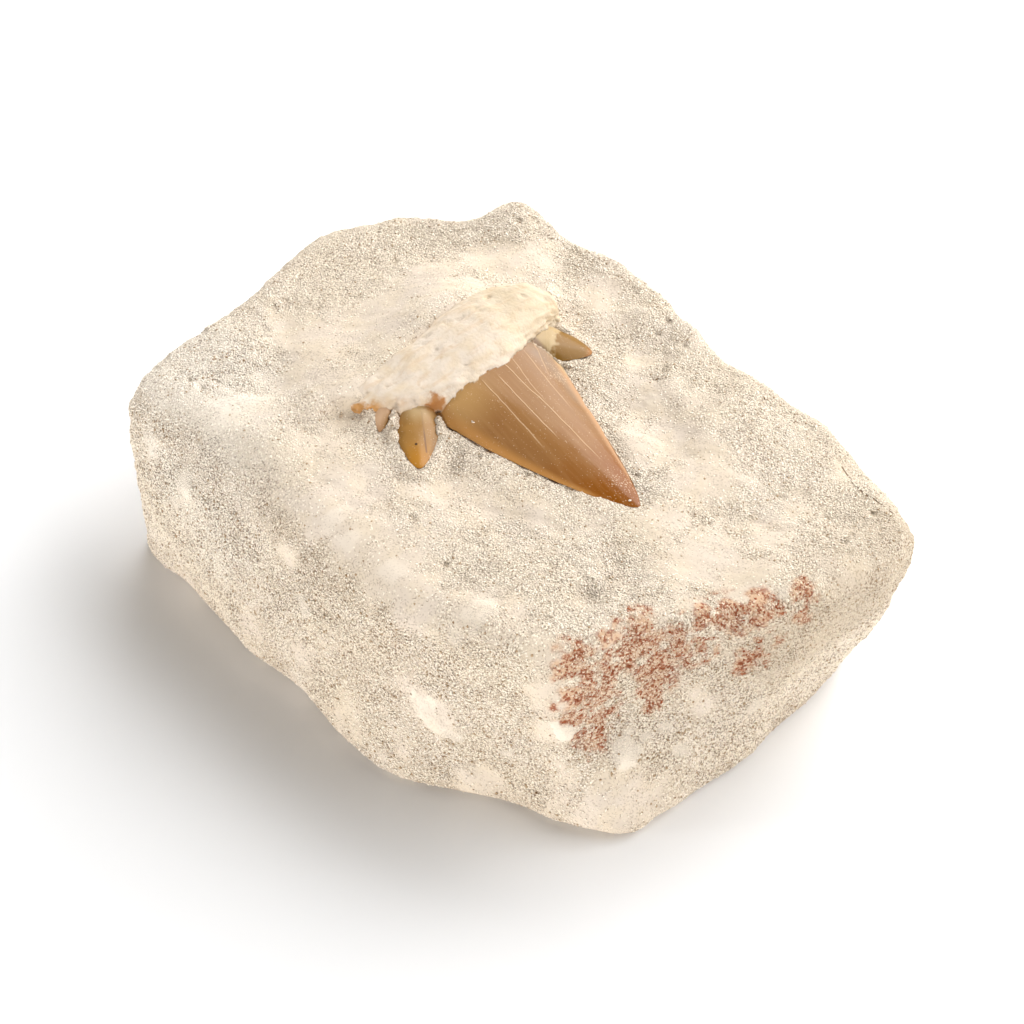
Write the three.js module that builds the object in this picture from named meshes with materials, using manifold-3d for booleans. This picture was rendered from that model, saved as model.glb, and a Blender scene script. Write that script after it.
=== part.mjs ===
// A fossil shark tooth lying in the block of sandy matrix that it was found in, in millimetres, +Z up.
// X runs along the block, towards the end that the tooth points at. The origin is at the middle of the
// block's flat underside. The tooth grew as one piece: a root, a crown, a cusplet on each side and a
// denticle. The block is one piece of soft sandstone, with a pocket that the tooth's underside fills.
import * as THREE from "three";
import { mergeVertices } from "three/addons/utils/BufferGeometryUtils.js";
import Module from "manifold-3d";

const wasm = await Module();
wasm.setup();

// ---- The block ------------------------------------------------------------------------------------

const BLOCK_HEIGHT = 38; // of the level part of the top above the underside
const FOOT_ROUND = 3; // how far the lower edge is worn round
const FOOTPRINT_MIDDLE = [1.3, -1]; // of the whole block, in the plan that the stations are given in

// Stations round the block, anticlockwise from its near corner: where its foot, waist and rim stand in
// plan, and how far the rim is worn round. The foot is at the underside, the waist at half the height.
const STATIONS = [
  { foot: [51.2, -25.8], waist: [41.5, -30], rim: [37.5, -30], round: 3 },
  { foot: [53, -17.5], waist: [46, -18.5], rim: [42, -19], round: 2.5 },
  { foot: [54.3, -5.5], waist: [51.5, -6.5], rim: [48.5, -8.5], round: 2.5 },
  { foot: [53, 6], waist: [55.5, 4], rim: [55.5, 2], round: 3 },
  { foot: [51.8, 17.5], waist: [57.5, 17], rim: [60.5, 14.5], round: 4 },
  { foot: [49, 28.5], waist: [57.5, 29], rim: [63, 28], round: 4 },
  { foot: [42, 35], waist: [47, 34], rim: [51.5, 31], round: 4 },
  { foot: [28, 37], waist: [31, 38], rim: [35, 37.5], round: 3 },
  { foot: [12, 37], waist: [13, 38.5], rim: [13, 37], round: 3 },
  { foot: [-5, 38], waist: [-6, 40], rim: [-6, 41.2], round: 2 },
  { foot: [-22, 38], waist: [-23, 41], rim: [-24, 42.2], round: 3 },
  { foot: [-34, 35], waist: [-37, 39], rim: [-38, 41], round: 2.5 },
  { foot: [-40, 29], waist: [-43, 32], rim: [-41.5, 31.3], round: 3 },
  { foot: [-48, 22], waist: [-52, 23], rim: [-53.8, 23], round: 4 },
  { foot: [-53, 10], waist: [-57, 11], rim: [-58, 12], round: 3.5 },
  { foot: [-53, -6], waist: [-56, -6], rim: [-56.3, -5], round: 3.5 },
  { foot: [-52, -21], waist: [-56, -21], rim: [-55, -20], round: 4 },
  { foot: [-52, -38], waist: [-54.5, -36], rim: [-53, -31.5], round: 6 },
  { foot: [-37, -39.2], waist: [-42, -41], rim: [-42, -35], round: 8 },
  { foot: [-22, -42], waist: [-25, -41], rim: [-25, -37], round: 9 },
  { foot: [-7, -42], waist: [-8, -41.5], rim: [-8, -38], round: 8 },
  { foot: [4.5, -44.5], waist: [6, -42], rim: [6, -38], round: 7 },
  { foot: [18, -43.2], waist: [17, -40.5], rim: [18, -37], round: 6 },
  { foot: [32.5, -34.4], waist: [30, -36], rim: [28, -34], round: 4.5 },
];
const CORNERS = [0, 5, 11, 17, 24]; // the stations at which one side of the block ends and the next starts

// Broad rises and hollows of the top: middle in plan, reach along and across, the way they lie, height.
const RELIEF = [
  { at: [-38, 36], reach: [7, 6], turn: 0, height: 1.8 }, // the knob at the far corner
  { at: [-50, -5], reach: [14, 26], turn: 0, height: -1 }, // the blunt end falls away
  { at: [-28, 6], reach: [8, 20], turn: 4, height: 3.4 }, // the matrix still heaped behind the root
  { at: [4, -15], reach: [24, 5], turn: 6, height: -0.9 }, // worked out before the tooth
  { at: [10, 19], reach: [20, 5], turn: -18, height: -0.9 }, // and behind it
  { at: [42, 14], reach: [16, 16], turn: 0, height: -0.9 },
];

// Knobs and pits of the skin, where they stand, how far they reach and how high they are.
const KNOBS = [
  { at: [54.7, 19.3, 37], reach: 3, height: 0.9 }, // chalky knob at the right shoulder
  { at: [26, -32.6, 38], reach: 4.5, height: 0.8 }, // on the near rim
  { at: [-4, 34, 37.3], reach: 3, height: 0.9 }, // on the far rim
  { at: [33.2, -18, 38], reach: 2.4, height: -1.6 }, // the pit by the near corner
  { at: [44.5, 31.5, 37.3], reach: 2.4, height: -1.1 }, // where the far right rim is cracked
  { at: [44, -23, 24], reach: 7, height: -1.1 }, // the stained hollow of the near end
  { at: [51, -3, 30], reach: 6, height: -0.7 },
  { at: [46.5, -21, 15], reach: 3.4, height: 0.9 }, // chalky knob below it
  { at: [40.3, -29.6, 21], reach: 3, height: 0.8 }, // on the near corner's ridge
  { at: [54, -1, 15], reach: 4.5, height: 0.8 },
  { at: [-34.7, -39.4, 27.4], reach: 3, height: 0.8 }, // chalky knob of the long side
  { at: [24, -38.5, 15.7], reach: 5, height: 0.9 },
  { at: [-4, -41.5, 24], reach: 4, height: 0.6 },
  { at: [-3, -43.5, 10.5], reach: 4.5, height: 1 }, // crust along the foot
  { at: [-14, -42.5, 6], reach: 4, height: -1 },
  { at: [0, 40, 20], reach: 8, height: 1.6 }, // the far side
  { at: [31, 37, 12], reach: 7, height: -1.4 },
  { at: [-28, 40, 12], reach: 7, height: -1.6 },
  { at: [-57, 4, 20], reach: 8, height: 1.3 }, // the blunt end
  { at: [-56, -15, 10], reach: 6, height: -1.3 },
];

// Facets of the broken rock: a sum of zigzag waves, each shorter and lower than the last, along
// directions that turn by the golden angle. The point is warped first, so that no crease runs straight.
const FACETS = { waves: 18, longest: 34, fall: 0.92, height: 0.34 };
const WARP = { reach: 2.6, length: 7 };
const GOLDEN_TURN = Math.PI * (3 - Math.sqrt(5));

// ---- The tooth ------------------------------------------------------------------------------------

// The tooth's own frame has +X from the neck to the tip, +Y across, +Z out of the face that shows.
const TOOTH_AT = [-7.6, 4.2, 38.3];
const TOOTH_YAW = -5.2;
const TOOTH_PITCH = 0.6; // tip down

// A blade is sunk in the root by its seat. It is flat where it leaves the root and ridged at its tip.
const CROWN = { length: 34.5, half: 12.2, taper: 0.7, rise: 4.7, belly: 2.4, bow: -0.5, seat: 7 };
const CUSPLET = { taper: 0.55, rise: 2.1, belly: 1.4, bow: 0, seat: 4 };
const CUSPLETS = [
  { ...CUSPLET, at: [-3.3, -14, 0.9], yaw: -36, pitch: 4, length: 11.6, half: 4.1 },
  { ...CUSPLET, at: [-1.6, 12.8, 1.1], yaw: 42, pitch: 8, length: 7.2, half: 4 },
  { ...CUSPLET, at: [-6.6, -18.1, 1.2], yaw: -46, pitch: 13, length: 4.8, half: 1.7, rise: 1.3 },
];

// Stations across the root, from lobe to lobe: where its front and back edges and its top stand.
const ROOT = [
  { across: -23.5, front: -12, back: -13, top: 0.6 },
  { across: -20, front: -9, back: -13.4, top: 2 },
  { across: -16, front: -4.3, back: -13.8, top: 3.6 },
  { across: -11, front: -0.8, back: -14.2, top: 5 },
  { across: -4, front: 1.2, back: -15.2, top: 6.5 },
  { across: 3, front: 1.5, back: -16.6, top: 7.1 },
  { across: 9, front: -0.6, back: -16.8, top: 6.8 },
  { across: 14.5, front: -2.2, back: -15.8, top: 6.2 },
  { across: 18, front: -3.6, back: -13, top: 4.8 },
  { across: 19.6, front: -8, back: -11, top: 3 },
];
const ROOT_BOTTOM = -5;
const ROOT_SQUARENESS = 2.7; // exponent of the root's section: 2 is an ellipse

const POCKET_GAP = 0.35; // between the tooth and the pocket that holds it

// ---- How finely the solids are cut ----------------------------------------------------------------

const BLOCK_CELLS = [30, 21, 11];
const CROWDING = 1.25; // how cells crowd towards the block's edges and a blade's tip: 1 is even
const CROWN_CELLS = [16, 28];
const CUSPLET_CELLS = [7, 14];
const ROOT_CELLS = [22, 24];

// ---- Helpers --------------------------------------------------------------------------------------

const radians = THREE.MathUtils.degToRad;
const steps = (count) => Array.from({ length: count }, (_, i) => i);
const squared = (value) => Math.sign(value) * Math.abs(value) ** (2 / ROOT_SQUARENESS);
const crowded = (share) => 1 - (1 - share) ** CROWDING;

// Each point of the geometry moved by a function of the point and its normal.
function moved(geometry, move) {
  geometry.computeVertexNormals();
  const [positions, normals] = [geometry.getAttribute("position"), geometry.getAttribute("normal")];
  const [point, normal] = [new THREE.Vector3(), new THREE.Vector3()];
  steps(positions.count).forEach((i) => {
    move(point.fromBufferAttribute(positions, i), normal.fromBufferAttribute(normals, i));
    positions.setXYZ(i, ...point);
  });
  geometry.deleteAttribute("normal");
  return geometry;
}

// A closed skin over rings of points, each ring turning anticlockwise as seen from the end that the
// rings run to. A point closes each end.
function loft(rings, start, end) {
  const sides = rings[0].length;
  const points = [start, ...rings.flat(), end];
  const at = (ring, side) => 1 + ring * sides + (side % sides);
  const index = [];
  steps(sides).forEach((i) => {
    index.push(0, at(0, i + 1), at(0, i));
    steps(rings.length - 1).forEach((ring) => {
      const [a, b, c, d] = [at(ring, i), at(ring, i + 1), at(ring + 1, i + 1), at(ring + 1, i)];
      index.push(a, b, c, a, c, d);
    });
    index.push(points.length - 1, at(rings.length - 1, i), at(rings.length - 1, i + 1));
  });
  return new THREE.BufferGeometry().setFromPoints(points).setIndex(index);
}

function solid(geometry) {
  const merged = mergeVertices(geometry, 1e-4);
  const vertProperties = merged.getAttribute("position").array;
  const triVerts = new Uint32Array(merged.index.array);
  return new wasm.Manifold(new wasm.Mesh({ numProp: 3, vertProperties, triVerts }));
}

function geometryOf(manifold) {
  const mesh = manifold.getMesh();
  const positions = new THREE.BufferAttribute(mesh.vertProperties, 3);
  return new THREE.BufferGeometry().setAttribute("position", positions).setIndex([...mesh.triVerts]);
}

// ---- The block's skin -----------------------------------------------------------------------------

// A closed Catmull-Rom curve through one value of each station.
function around(values, place) {
  const count = values.length;
  const i = Math.floor(place);
  const t = place - i;
  const [a, b, c, d] = [-1, 0, 1, 2].map((k) => values[(i + k + count) % count]);
  return 0.5 * (2 * b + (c - a) * t + (2 * a - 5 * b + 4 * c - d) * t * t + (3 * b - a - 3 * c + d) * t ** 3);
}

function inPlan(level, place) {
  return [0, 1].map((axis) => around(STATIONS.map((station) => station[level][axis]), place));
}
const roundAt = (place) => around(STATIONS.map((station) => station.round), place);

// The side in plan at a height: one parabola through the foot, the waist and the rim.
function sideAt(place, z) {
  const t = z / BLOCK_HEIGHT;
  const [foot, waist, rim] = ["foot", "waist", "rim"].map((level) => inPlan(level, place));
  const weights = [(1 - t) * (1 - 2 * t), 4 * t * (1 - t), t * (2 * t - 1)];
  return [0, 1].map((axis) => foot[axis] * weights[0] + waist[axis] * weights[1] + rim[axis] * weights[2]);
}

function topHeight(x, y) {
  return RELIEF.reduce((height, { at, reach, turn, height: rise }) => {
    const [c, s] = [Math.cos(radians(turn)), Math.sin(radians(turn))];
    const [dx, dy] = [x - at[0], y - at[1]];
    const [along, across] = [(c * dx + s * dy) / reach[0], (c * dy - s * dx) / reach[1]];
    return height + rise * Math.exp(-along * along - across * across);
  }, BLOCK_HEIGHT);
}

// How far a worn edge has fallen at a distance in from it: a quarter circle.
const wornBy = (round, inwards) => round - Math.sqrt(round ** 2 - Math.max(0, round - inwards) ** 2);

// The station, with a fraction, at a point of a square's edge, anticlockwise from its near corner.
function placeRound(u, v) {
  const side = Math.abs(u) >= Math.abs(v) ? (u > 0 ? 0 : 2) : v > 0 ? 1 : 3;
  const along = [v / u, -u / v, v / u, -u / v][side];
  return (CORNERS[side] + ((CORNERS[side + 1] - CORNERS[side]) * (along + 1)) / 2) % STATIONS.length;
}

// A point inside a closed outline, as a Coons patch: the mean of the two ruled surfaces between its
// opposite sides, less the bilinear surface through its corners.
function patch(outline, u, v) {
  const [s, t] = [(u + 1) / 2, (v + 1) / 2];
  const edges = [[1, v, s], [-1, v, 1 - s], [u, 1, t], [u, -1, 1 - t]];
  const corners = [[1, -1, s * (1 - t)], [1, 1, s * t], [-1, 1, (1 - s) * t], [-1, -1, (1 - s) * (1 - t)]];
  const sum = (places, axis) =>
    places.reduce((total, [x, y, weight]) => total + weight * outline(placeRound(x, y))[axis], 0);
  return [0, 1].map((axis) => sum(edges, axis) - sum(corners, axis));
}

// A point of a cube's surface carried to the block's skin. The cube's upright faces become the sides, and
// its top and bottom become patches. Its cells crowd together towards the worn edges.
function onSkin(point) {
  const [u, v] = [point.x, point.y].map((value) => Math.sign(value) * crowded(Math.abs(value)));
  const ring = Math.max(Math.abs(u), Math.abs(v), 1e-6);
  const place = placeRound(u, v);
  const rimLevel = (at) => topHeight(...inPlan("rim", at)) - roundAt(at);
  if (Math.abs(point.z) < 1) {
    const z = FOOT_ROUND + ((rimLevel(place) - FOOT_ROUND) * (point.z + 1)) / 2;
    return [...sideAt(place, z), z];
  }
  const onTop = point.z > 0;
  const outline = (at) => sideAt(at, onTop ? rimLevel(at) : 0);
  const plan = patch(outline, u, v);
  const edge = outline(place);
  const inwards = ring < 1 ? Math.hypot(plan[0] - edge[0], plan[1] - edge[1]) : 0;
  if (onTop) return [...plan, topHeight(...plan) - wornBy(roundAt(place), inwards)];
  return [...plan, wornBy(FOOT_ROUND, inwards)];
}

const zigzag = (angle) => (2 / Math.PI) * Math.asin(Math.sin(angle));

function facets(point) {
  const { waves, longest, fall, height } = FACETS;
  const [x, y, z] = [..."yzx"].map((axis, i) => {
    return point.getComponent(i) + WARP.reach * Math.sin(point[axis] / WARP.length + i + 1);
  });
  return steps(waves).reduce((sum, i) => {
    const up = 1 - (2 * i + 1) / waves;
    const level = Math.sqrt(1 - up * up);
    const along = level * (Math.cos(i * GOLDEN_TURN) * x + Math.sin(i * GOLDEN_TURN) * y) + up * z;
    return sum + height * fall ** i * zigzag((2 * Math.PI * along) / (longest * fall ** i) + i * i);
  }, 0);
}

function knobs(point) {
  return KNOBS.reduce((sum, { at, reach, height }) => {
    return sum + height * Math.exp(-point.distanceToSquared(new THREE.Vector3(...at)) / reach ** 2);
  }, 0);
}

// Facets and knobs stand along the skin's normals, and die away at the flat underside.
function blockGeometry() {
  const cube = new THREE.BoxGeometry(2, 2, 2, ...BLOCK_CELLS);
  cube.deleteAttribute("normal");
  cube.deleteAttribute("uv");
  const skin = moved(mergeVertices(cube), (point) => point.set(...onSkin(point)));
  return moved(skin, (point, normal) => {
    const height = (facets(point) + knobs(point)) * Math.min(1, point.z / FOOT_ROUND);
    point.addScaledVector(normal, height);
  });
}

// ---- The tooth's pieces ---------------------------------------------------------------------------

// A blade from its seat in the root to its tip, with sharp edges and a fuller back.
function blade({ length, half, taper, rise, belly, bow, seat }, [rings, sides]) {
  const sections = steps(rings).map((i) => {
    const x = -seat + (length + seat) * crowded(i / rings);
    const along = Math.max(0, x) / length;
    const thin = (1 - along) ** 0.8;
    const roundness = 1.6 + 1.6 * (1 - along) ** 3;
    return steps(sides).map((k) => {
      const angle = (2 * Math.PI * k) / sides;
      const across = Math.cos(angle);
      const face = 1 - Math.abs(across) ** roundness;
      const z = thin * (Math.sin(angle) >= 0 ? rise * face : -belly * (1 - across ** 2));
      return new THREE.Vector3(x, half * (1 - along) ** taper * across + bow * Math.sin(Math.PI * along), z);
    });
  });
  return loft(sections, new THREE.Vector3(-seat, 0, 0), new THREE.Vector3(length, 0, 0));
}

function rootGeometry([rings, sides]) {
  const curve = (points) => new THREE.CatmullRomCurve3(points.map((point) => new THREE.Vector3(...point)));
  const edges = curve(ROOT.map(({ across, front, back }) => [across, front, back]));
  const tops = curve(ROOT.map(({ across, top }) => [across, top, 0]));
  const sections = steps(rings + 1).map((i) => {
    const share = 0.5 - 0.5 * Math.cos((Math.PI * i) / rings);
    const { x: across, y: front, z: back } = edges.getPoint(share);
    const top = tops.getPoint(share).y;
    const [x, reach] = [(front + back) / 2, (front - back) / 2];
    const [z, high] = [(top + ROOT_BOTTOM) / 2, (top - ROOT_BOTTOM) / 2];
    return steps(sides).map((k) => {
      const angle = (-2 * Math.PI * k) / sides;
      const [c, s] = [Math.cos(angle), Math.sin(angle)];
      return new THREE.Vector3(x + reach * squared(c), across, z + high * squared(s));
    });
  });
  const middle = (ring) => ring[0].clone().lerp(ring[sides / 2], 0.5);
  return loft(sections, middle(sections[0]), middle(sections[rings]));
}

function posed(geometry, at, yaw, pitch) {
  const turn = new THREE.Euler(0, radians(pitch), radians(yaw), "ZYX");
  return geometry.applyMatrix4(new THREE.Matrix4().makeRotationFromEuler(turn).setPosition(...at));
}

// The whole tooth as one solid in the block's frame, grown all over by a margin.
function toothSolid(margin) {
  const cusplets = CUSPLETS.map((cusplet) =>
    posed(blade(cusplet, CUSPLET_CELLS), cusplet.at, cusplet.yaw, cusplet.pitch),
  );
  return [blade(CROWN, CROWN_CELLS), rootGeometry(ROOT_CELLS), ...cusplets]
    .map((piece) => moved(piece, (point, normal) => point.addScaledVector(normal, margin)))
    .map((piece) => solid(posed(piece, TOOTH_AT, TOOTH_YAW, TOOTH_PITCH)))
    .reduce((whole, piece) => whole.add(piece));
}

// ---- The part -------------------------------------------------------------------------------------

const enamel = new THREE.MeshStandardMaterial({ color: 0xae8358, roughness: 0.3, metalness: 0 });
const sandstone = new THREE.MeshStandardMaterial({ color: 0xe6d6c0, roughness: 0.95, metalness: 0 });

const tooth = new THREE.Mesh(geometryOf(toothSolid(0)), enamel);
tooth.name = "tooth";
const block = new THREE.Mesh(geometryOf(solid(blockGeometry()).subtract(toothSolid(POCKET_GAP))), sandstone);
block.name = "matrix_block";

const part = new THREE.Group();
part.add(block, tooth);
part.position.set(-FOOTPRINT_MIDDLE[0], -FOOTPRINT_MIDDLE[1], 0);
export default part;
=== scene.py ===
# %% [markdown]
# # A fossil shark tooth in its matrix
#
# A tooth with a glossy brown crown and a chalky root lies half sunk in a block of soft, sandy stone. The
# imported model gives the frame: a faceted tooth and a faceted block, at their real size. Here the same two
# forms are worked out again on fine grids, so that the rock gets its lumps, pits and loose grains and the
# tooth its growth lines. Everything is designed in millimetres and made in metres.

import bpy
import numpy as np
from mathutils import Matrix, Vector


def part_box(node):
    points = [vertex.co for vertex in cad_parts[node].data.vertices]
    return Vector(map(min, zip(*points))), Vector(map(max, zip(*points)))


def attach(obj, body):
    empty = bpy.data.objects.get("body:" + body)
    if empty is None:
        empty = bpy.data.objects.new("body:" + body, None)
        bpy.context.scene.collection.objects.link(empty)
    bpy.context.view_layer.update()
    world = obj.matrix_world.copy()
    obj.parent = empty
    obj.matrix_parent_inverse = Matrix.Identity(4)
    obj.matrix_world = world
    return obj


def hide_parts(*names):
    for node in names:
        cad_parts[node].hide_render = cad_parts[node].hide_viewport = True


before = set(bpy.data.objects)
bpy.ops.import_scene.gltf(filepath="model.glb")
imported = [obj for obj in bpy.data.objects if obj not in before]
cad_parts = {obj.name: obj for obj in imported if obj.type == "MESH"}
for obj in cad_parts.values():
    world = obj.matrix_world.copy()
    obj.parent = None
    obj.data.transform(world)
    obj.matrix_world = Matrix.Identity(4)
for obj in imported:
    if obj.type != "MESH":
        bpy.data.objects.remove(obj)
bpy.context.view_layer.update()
MM = 0.001
print("the packed nodes:", sorted(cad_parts))

# %% [markdown]
# ## The view
#
# The camera looks down on the block's near corner. Typing three coordinates would place it too, but a
# direction is easier to think about: so far round, so high up, so far away. The lamps are placed in the
# same way later. A long lens keeps the block's edges almost parallel. Blender's cameras look along their
# own -Z, so the rotation comes from that axis.

# %% The camera
from mathutils import Vector

LOOK_AT = Vector((-1.3, 1.0, 18.0)) * MM
ROUND_BY, UP_BY = 45, 46  # degrees
AWAY = 450 * MM
LENS = 95.9  # on a sensor 36 mm wide
CLIP_START = 10 * MM


def direction(round_by, up_by):
    """The unit vector that points so many degrees round from the front and so many up, which is
    (sin r cos u, -cos r cos u, sin u)."""
    r, u = np.radians(round_by), np.radians(up_by)
    return Vector((np.sin(r) * np.cos(u), -np.cos(r) * np.cos(u), np.sin(u)))


towards_camera = direction(ROUND_BY, UP_BY)
camera = bpy.data.objects.new("camera", bpy.data.cameras.new("camera"))
camera.data.lens = LENS
camera.data.clip_start = CLIP_START
camera.location = LOOK_AT + AWAY * towards_camera
camera.rotation_euler = towards_camera.to_track_quat("Z", "Y").to_euler()
bpy.context.scene.collection.objects.link(camera)
bpy.context.scene.camera = camera
print("the camera stands at", [round(value, 3) for value in camera.location])

# %% [markdown]
# ## Three kinds of roughness
#
# Broken sandstone has no regular pattern, but it isn't without order: broad swells carry smaller lumps,
# and those carry grains. Smooth noise gives the swells. Added to itself at half the size and half the
# height, again and again, it gives the lumps. Distances to scattered points give round pebbles and pits.
# All three are functions of a place in space, so the skin, the grains and the colours can share them.

# %% Noise
TABLE_SIDE = 48
FAR_OFF = 9.0  # stands for the distance to something that isn't near


def swells(points, size, seed):
    """Smooth noise from -1 to 1: random values on a cubic lattice with cells of the given size, blended
    between the eight corners of a cell with the quintic fade 6t^5 - 15t^4 + 10t^3."""
    table = np.random.default_rng(seed).uniform(-1, 1, (TABLE_SIDE,) * 3)
    cell = np.floor(points / size).astype(int)
    t = points / size - cell
    fade = t**3 * (t * (6 * t - 15) + 10)
    total = np.zeros(len(points))
    for corner in np.ndindex(2, 2, 2):
        weight = np.prod(np.where(corner, fade, 1 - fade), axis=1)
        total += weight * table[tuple(((cell + corner) % TABLE_SIDE).T)]
    return total


def lumps(points, size, octaves, seed):
    """The sum of swells, each half as large and half as high as the one before."""
    return sum(swells(points, size / 2**n, seed + n) / 2**n for n in range(octaves))


def pebbles(points, size, seed):
    """The distance to the nearest of a set of scattered points, one in each cell of a cubic lattice, in
    cell sizes, and a random number that belongs to that point."""
    rng = np.random.default_rng(seed)
    table = rng.random((TABLE_SIDE,) * 3 + (4,))
    cell = np.floor(points / size).astype(int)
    nearest, chance = np.full(len(points), FAR_OFF), np.zeros(len(points))
    for step in np.ndindex(3, 3, 3):
        at = cell + np.array(step) - 1
        values = table[tuple((at % TABLE_SIDE).T)]
        distance = np.linalg.norm(points / size - at - values[:, :3], axis=1)
        chance = np.where(distance < nearest, values[:, 3], chance)
        nearest = np.minimum(distance, nearest)
    return nearest, chance


def rise(value, low, high):
    """The smooth step from 0 at low to 1 at high: 3t^2 - 2t^3. With low above high it falls."""
    t = np.clip((value - low) / (high - low), 0, 1)
    return t * t * (3 - 2 * t)


sample = np.random.default_rng(1).random((1000, 3)) * 50
print("the swells over a thousand points spread by", swells(sample, 5, 1).std().round(2))

# %% [markdown]
# ## The block's large form
#
# The block is a slab broken from a bed of sandstone. Seen from above, its outline is a closed curve, and
# it changes from the foot to the rim, because some sides lean in and others overhang. So 24 stations go
# round the block, and each says where the foot, the waist at half the height and the rim stand, and how
# far the rim is worn. A Catmull-Rom curve runs through the stations, and a parabola through the three
# levels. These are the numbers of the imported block, so the fine block lies where that one does.

# %% The stations
HEIGHT = 38.0
FOOT_ROUND = 3.0
FOOTPRINT_MIDDLE = np.array([1.3, -1.0, 0.0])
STATIONS = np.array([  # foot x and y, waist x and y, rim x and y, round
    [51.2, -25.8, 41.5, -30, 37.5, -30, 3], [53, -17.5, 46, -18.5, 42, -19, 2.5],
    [54.3, -5.5, 51.5, -6.5, 48.5, -8.5, 2.5], [53, 6, 55.5, 4, 55.5, 2, 3],
    [51.8, 17.5, 57.5, 17, 60.5, 14.5, 4], [49, 28.5, 57.5, 29, 63, 28, 4],
    [42, 35, 47, 34, 51.5, 31, 4], [28, 37, 31, 38, 35, 37.5, 3],
    [12, 37, 13, 38.5, 13, 37, 3], [-5, 38, -6, 40, -6, 41.2, 2],
    [-22, 38, -23, 41, -24, 42.2, 3], [-34, 35, -37, 39, -38, 41, 2.5],
    [-40, 29, -43, 32, -41.5, 31.3, 3], [-48, 22, -52, 23, -53.8, 23, 4],
    [-53, 10, -57, 11, -58, 12, 3.5], [-53, -6, -56, -6, -56.3, -5, 3.5],
    [-52, -21, -56, -21, -55, -20, 4], [-52, -38, -54.5, -36, -53, -31.5, 6],
    [-37, -39.2, -42, -41, -42, -35, 8], [-22, -42, -25, -41, -25, -37, 9],
    [-7, -42, -8, -41.5, -8, -38, 8], [4.5, -44.5, 6, -42, 6, -38, 7],
    [18, -43.2, 17, -40.5, 18, -37, 6], [32.5, -34.4, 30, -36, 28, -34, 4.5],
])
CORNERS = [0, 5, 11, 17, 24]  # the stations at which one side of the block ends and the next starts
RELIEF = np.array([  # middle x and y, reach along and across, turn, height
    [-38, 36, 7, 6, 0, 1.8], [-50, -5, 14, 26, 0, -1], [-28, 6, 8, 20, 4, 3.4],
    [4, -15, 24, 5, 6, -0.9], [10, 19, 20, 5, -18, -0.9], [42, 14, 16, 16, 0, -0.9],
])
KNOBS = np.array([  # middle x, y and z, reach, height
    [54.7, 19.3, 37, 3, 0.9], [26, -32.6, 38, 4.5, 0.8], [-4, 34, 37.3, 3, 0.9],
    [33.2, -18, 38, 2.4, -1.6], [44.5, 31.5, 37.3, 2.4, -1.1], [44, -23, 24, 7, -1.1],
    [51, -3, 30, 6, -0.7], [46.5, -21, 15, 3.4, 0.9], [40.3, -29.6, 21, 3, 0.8],
    [54, -1, 15, 4.5, 0.8], [-34.7, -39.4, 27.4, 3, 0.8], [24, -38.5, 15.7, 5, 0.9],
    [-4, -41.5, 24, 4, 0.6], [-3, -43.5, 10.5, 4.5, 1], [-14, -42.5, 6, 4, -1],
    [0, 40, 20, 8, 1.6], [31, 37, 12, 7, -1.4], [-28, 40, 12, 7, -1.6],
    [-57, 4, 20, 8, 1.3], [-56, -15, 10, 6, -1.3],
])


def around(values, place):
    """A closed Catmull-Rom curve through one row of values for each station, read at fractional places:
    half of 2b + (c - a)t + (2a - 5b + 4c - d)t^2 + (3b - a - 3c + d)t^3."""
    i = np.floor(place).astype(int)
    t = (place - i)[:, None]
    a, b, c, d = (values[(i + k) % len(values)] for k in (-1, 0, 1, 2))
    square, cube = 2 * a - 5 * b + 4 * c - d, 3 * b - a - 3 * c + d
    return 0.5 * (2 * b + (c - a) * t + square * t**2 + cube * t**3)


def side_at(place, z):
    """The outline in plan at a height: the parabola through the foot, the waist and the rim."""
    t = (z / HEIGHT)[:, None]
    foot, waist, rim = np.split(around(STATIONS[:, :6], place), 3, axis=1)
    return foot * (1 - t) * (1 - 2 * t) + waist * 4 * t * (1 - t) + rim * t * (2 * t - 1)


def top_height(plan):
    """The level top with its broad rises and hollows: turned, stretched bell curves."""
    height = np.full(len(plan), HEIGHT)
    for x, y, along, across, turn, rise_by in RELIEF:
        c, s = np.cos(np.radians(turn)), np.sin(np.radians(turn))
        dx, dy = plan[:, 0] - x, plan[:, 1] - y
        height += rise_by * np.exp(-(((c * dx + s * dy) / along) ** 2) - ((c * dy - s * dx) / across) ** 2)
    return height


print("stations:", len(STATIONS), "knobs and pits:", len(KNOBS))

# %% [markdown]
# ## The block's grid
#
# One way to cover a lump of stone is a sphere pushed into shape, but its poles bunch up. Here rings run
# round the block from the middle of the underside, out to the foot, up the sides and over the worn rim.
# The last ring frames the top, which is filled by a Coons patch: the mean of the two ruled surfaces
# between its opposite sides, less the bilinear surface through its corners. So the cells stay about half
# a millimetre wide everywhere that shows, and only the sawn underside is coarse.

# %% The grid of the block
CELLS_LONG, CELLS_WIDE = 216, 150
SIDE_ROWS, RIM_ROWS, FOOT_ROWS = 66, 9, 4
UNDERSIDE_SHARES = (0.35, 0.75)  # where its rings lie, between its middle and the foot
CORNER_REACH = 28  # points of a ring over which a corner is spread

sides = [CELLS_WIDE, CELLS_LONG, CELLS_WIDE, CELLS_LONG]
place = np.concatenate([
    np.linspace(CORNERS[k], CORNERS[k + 1], sides[k], endpoint=False) for k in range(4)
])
rim_plan = around(STATIONS[:, 4:6], place)
rim_round = around(STATIONS[:, 6:], place)[:, 0]
rim_level = top_height(rim_plan) - rim_round


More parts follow.
